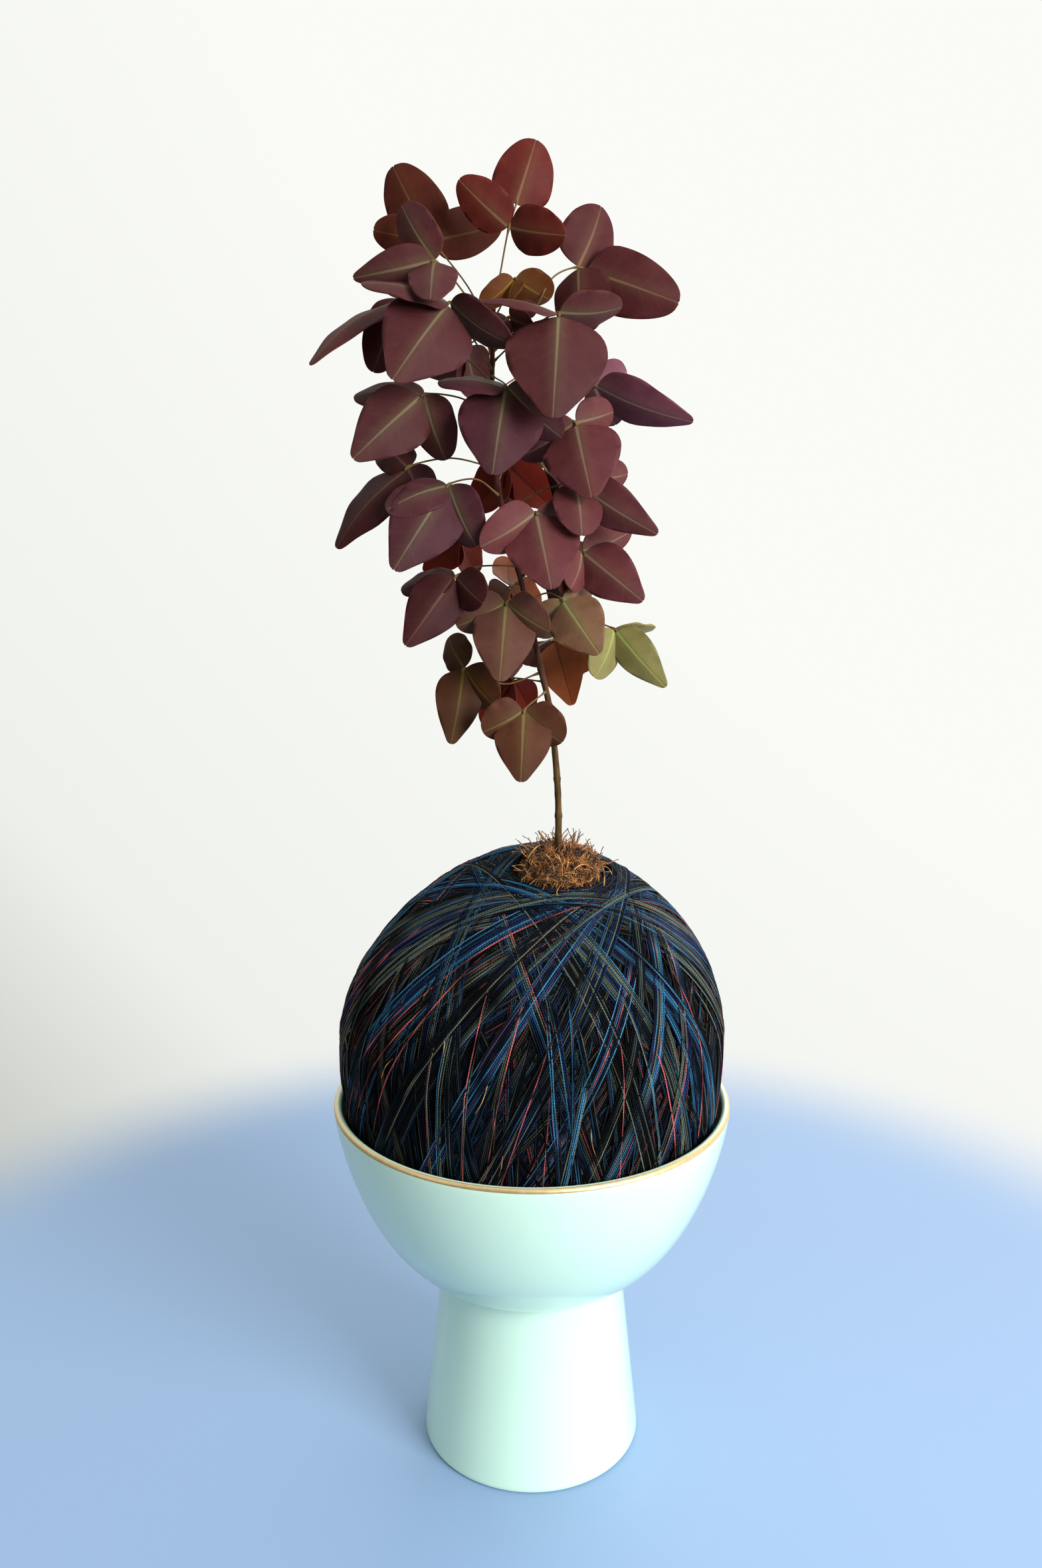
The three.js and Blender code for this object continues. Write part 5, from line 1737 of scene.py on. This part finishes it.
class KOKEDAMA_OT_coir(bpy.types.Operator):
    """Fill the mouth with a mat and a tuft of coconut fibre"""

    bl_idname = "kokedama.coir"
    bl_label = "Coconut fibre"

    # How deep the mat's two sides lie under the yarn, in millimetres
    OUTSIDE = 4.5
    INSIDE = 12.0
    # The faces round the mat, and those round the fibres' patch with its rings as shares of its reach
    MAT_TURNS = 64
    PATCH_TURNS = 48
    PATCH_RINGS = np.linspace(0.1, 0.76, 8)

    def execute(self, context):
        settings = context.scene.kokedama_coir
        for make in (self.add_mat, self.add_tuft, self.add_strays):
            dress(make(settings), "coir", "coir_cover")
        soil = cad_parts["root_ball"]
        soil.data.materials.clear()
        soil.data.materials.append(damp_soil())
        return {"FINISHED"}

    def add_mat(self, settings):
        rows = [(0, MOUND[0][1])]
        for angle in (1.5, 3, 5, 7, 9, 11, 12.5, 14, 16, 18):
            rows.append((angle, tuft_depth(angle, settings.seed)))
        rows += [(angle, self.OUTSIDE) for angle in np.linspace(30, 170, 12)]
        rows += [(angle, self.INSIDE) for angle in np.linspace(170, 4, 14)]
        rows.append((0, self.INSIDE))
        piece = make_piece("coir_mat", *mouth_shell(rows, self.MAT_TURNS), [coir_mat()])
        outward(piece)
        return piece

    def tuft_patch(self, seed):
        """The part of the mat that fibres grow from."""
        turns = self.PATCH_TURNS
        spin = np.linspace(0, 2 * np.pi, turns, endpoint=False)
        points = [on_ball(0, 0, MOUND[0][1])]
        for share in self.PATCH_RINGS:
            angles = share * tuft_reach(spin)
            depths = [float(tuft_depth(a, seed)(s)) for a, s in zip(angles, spin, strict=True)]
            points.extend(ball_place(from_mouth(np.radians(angles), spin), np.array(depths)))
        faces = []
        for j in range(turns):
            k = (j + 1) % turns
            faces.append((0, 1 + k, 1 + j))
            for i in range(len(self.PATCH_RINGS) - 1):
                low = 1 + i * turns
                faces.append((low + j, low + k, low + turns + k, low + turns + j))
        return make_piece("coir_tuft", points, faces, [])

    def add_tuft(self, settings):
        patch = self.tuft_patch(settings.seed)
        if patch.data.polygons[0].normal.dot(Vector(MOUTH)) < 0:
            patch.data.flip_normals()
        area = sum(polygon.area for polygon in patch.data.polygons)
        return grown(patch, coir_tree(), {
            "Count": settings.fibres, "Fibre Diameter": settings.fibre, "Fibre Length": settings.length,
            "Standing Share": settings.standing, "Patch Area": area, "Seed": settings.seed,
            "Material": coconut_fibre(),
        })

    def add_strays(self, settings):
        """The few fibres that work their way out between the threads, and the long curls."""
        draw = np.random.default_rng(settings.seed)
        build = Builder()
        for angle, turn in LOOSE_FIBRES:
            radii = np.linspace(*STRAY_RADII, STRAY_POINTS)
            points, faces = tube(stray_line(angle, turn, draw), radii, 5)
            build.add(points, faces, tone=[draw.uniform(0.6, 1)] * len(points))
        for near, far, rise in CURLS:
            radii = np.linspace(*CURL_RADII, CURL_POINTS)
            points, faces = tube(curl_line(near, far, rise, draw), radii, 6)
            build.add(points, faces, tone=[draw.uniform(0.8, 1)] * len(points))
        fibre = bpy.data.materials["coconut_fibre"]
        piece = make_piece("coir_strays", build.points, build.faces, [fibre],
                           {"tone": ("FLOAT", build.attributes["tone"])})
        outward(piece)
        return piece


class KOKEDAMA_OT_stem(bpy.types.Operator):
    """Grow the woody stem with its leaf scars and dry stubs"""

    bl_idname = "kokedama.stem"
    bl_label = "Stem"

    # In millimetres: the stem's length, its leaf scars' spacing, start, width and height, the spacing and
    # depth of its unevenness, and a stub's radii at both ends
    LENGTH = 225
    SCAR_SPACING = 13.5
    SCAR_START = 4
    SCAR_WIDTH = 0.8
    SCAR_HEIGHT = 0.24
    UNEVEN_SPACING = 2.5
    UNEVEN_DEPTH = 0.07
    STUB_RADII = (0.55, 0.4)

    def radii(self):
        share = np.linspace(0, 1, len(STEM_POINTS))
        run = share * self.LENGTH
        scar = np.exp(-(((run % self.SCAR_SPACING) - self.SCAR_START) / self.SCAR_WIDTH) ** 2)
        draw = np.random.default_rng(3)
        places = np.arange(0, self.LENGTH + 2 * self.UNEVEN_SPACING, self.UNEVEN_SPACING)
        depths = draw.uniform(-self.UNEVEN_DEPTH, self.UNEVEN_DEPTH, len(places))
        plain = STEM_FOOT + (STEM_TIP - STEM_FOOT) * share
        return plain + self.SCAR_HEIGHT * scar + np.interp(run, places, depths)

    def execute(self, context):
        build = Builder()
        build.add(*tube(STEM_POINTS, self.radii(), 14))
        for height, end in STUBS:
            middle, _ = stem_at(height)
            end = np.array(end, float)
            line = even_curve([middle, (middle + end) / 2 + (0, 0, 0.5), end], 10)
            build.add(*tube(line, np.linspace(*self.STUB_RADII, 10), 7))
        piece = make_piece("woody_stem", build.points, build.faces, [bark()])
        outward(piece)
        dress(piece, "bark", "stem")
        return {"FINISHED"}


class KOKEDAMA_OT_leaves(bpy.types.Operator):
    """Grow every leaf of three leaflets on its petiole"""

    bl_idname = "kokedama.leaves"
    bl_label = "Leaves"

    def execute(self, context):
        settings = context.scene.kokedama_leaf
        materials = [leaf_blade(settings), petiole_skin()]
        for i, entry in enumerate(FRONT_LEAVES + BACK_LEAVES):
            facing = (0, -1, 0) if i < len(FRONT_LEAVES) else (0, 1, 0)
            node = f"leaf_{i + 1:02d}"
            draw = np.random.default_rng(100 + i)
            stalk = LONG_STALKS.get(i + 1, SHORT_STALK)
            piece = leaf_piece(f"{node}_blades", entry, facing, stalk, settings, materials, draw)
            slot = "green_leaf" if entry[0] in ("amber", "green") else "plum_leaf"
            dress(piece, slot, node)
        return {"FINISHED"}


OPERATORS = (
    KOKEDAMA_OT_stage, KOKEDAMA_OT_bowl, KOKEDAMA_OT_yarn, KOKEDAMA_OT_coir, KOKEDAMA_OT_stem,
    KOKEDAMA_OT_leaves,
)


class KOKEDAMA_PT_panel(bpy.types.Panel):
    """Lists the pieces of the plant with their settings"""

    bl_idname = "KOKEDAMA_PT_panel"
    bl_label = "Kokedama"
    bl_space_type = "VIEW_3D"
    bl_region_type = "UI"
    bl_category = "Kokedama"

    def draw(self, context):
        for operator in OPERATORS:
            self.layout.operator(operator.bl_idname)
        for name in SETTINGS:
            group = getattr(context.scene, name)
            box = self.layout.box()
            for key in group.__annotations__:
                box.prop(group, key)


SETTINGS = {
    "kokedama_bowl": BowlSettings,
    "kokedama_yarn": YarnSettings,
    "kokedama_coir": CoirSettings,
    "kokedama_leaf": LeafSettings,
    "kokedama_stage": StageSettings,
}


def register():
    for group in SETTINGS.values():
        bpy.utils.register_class(group)
    for operator in OPERATORS:
        bpy.utils.register_class(operator)
    bpy.utils.register_class(KOKEDAMA_PT_panel)
    for name, group in SETTINGS.items():
        setattr(bpy.types.Scene, name, PointerProperty(type=group))


def unregister():
    for name in SETTINGS:
        delattr(bpy.types.Scene, name)
    for part in (KOKEDAMA_PT_panel, *OPERATORS, *SETTINGS.values()):
        bpy.utils.unregister_class(part)


def main():
    register()
    bpy.ops.kokedama.stage()
    bpy.ops.kokedama.bowl()
    bpy.ops.kokedama.yarn()
    bpy.ops.kokedama.coir()
    bpy.ops.kokedama.stem()
    bpy.ops.kokedama.leaves()


if __name__ == "__main__":
    main()
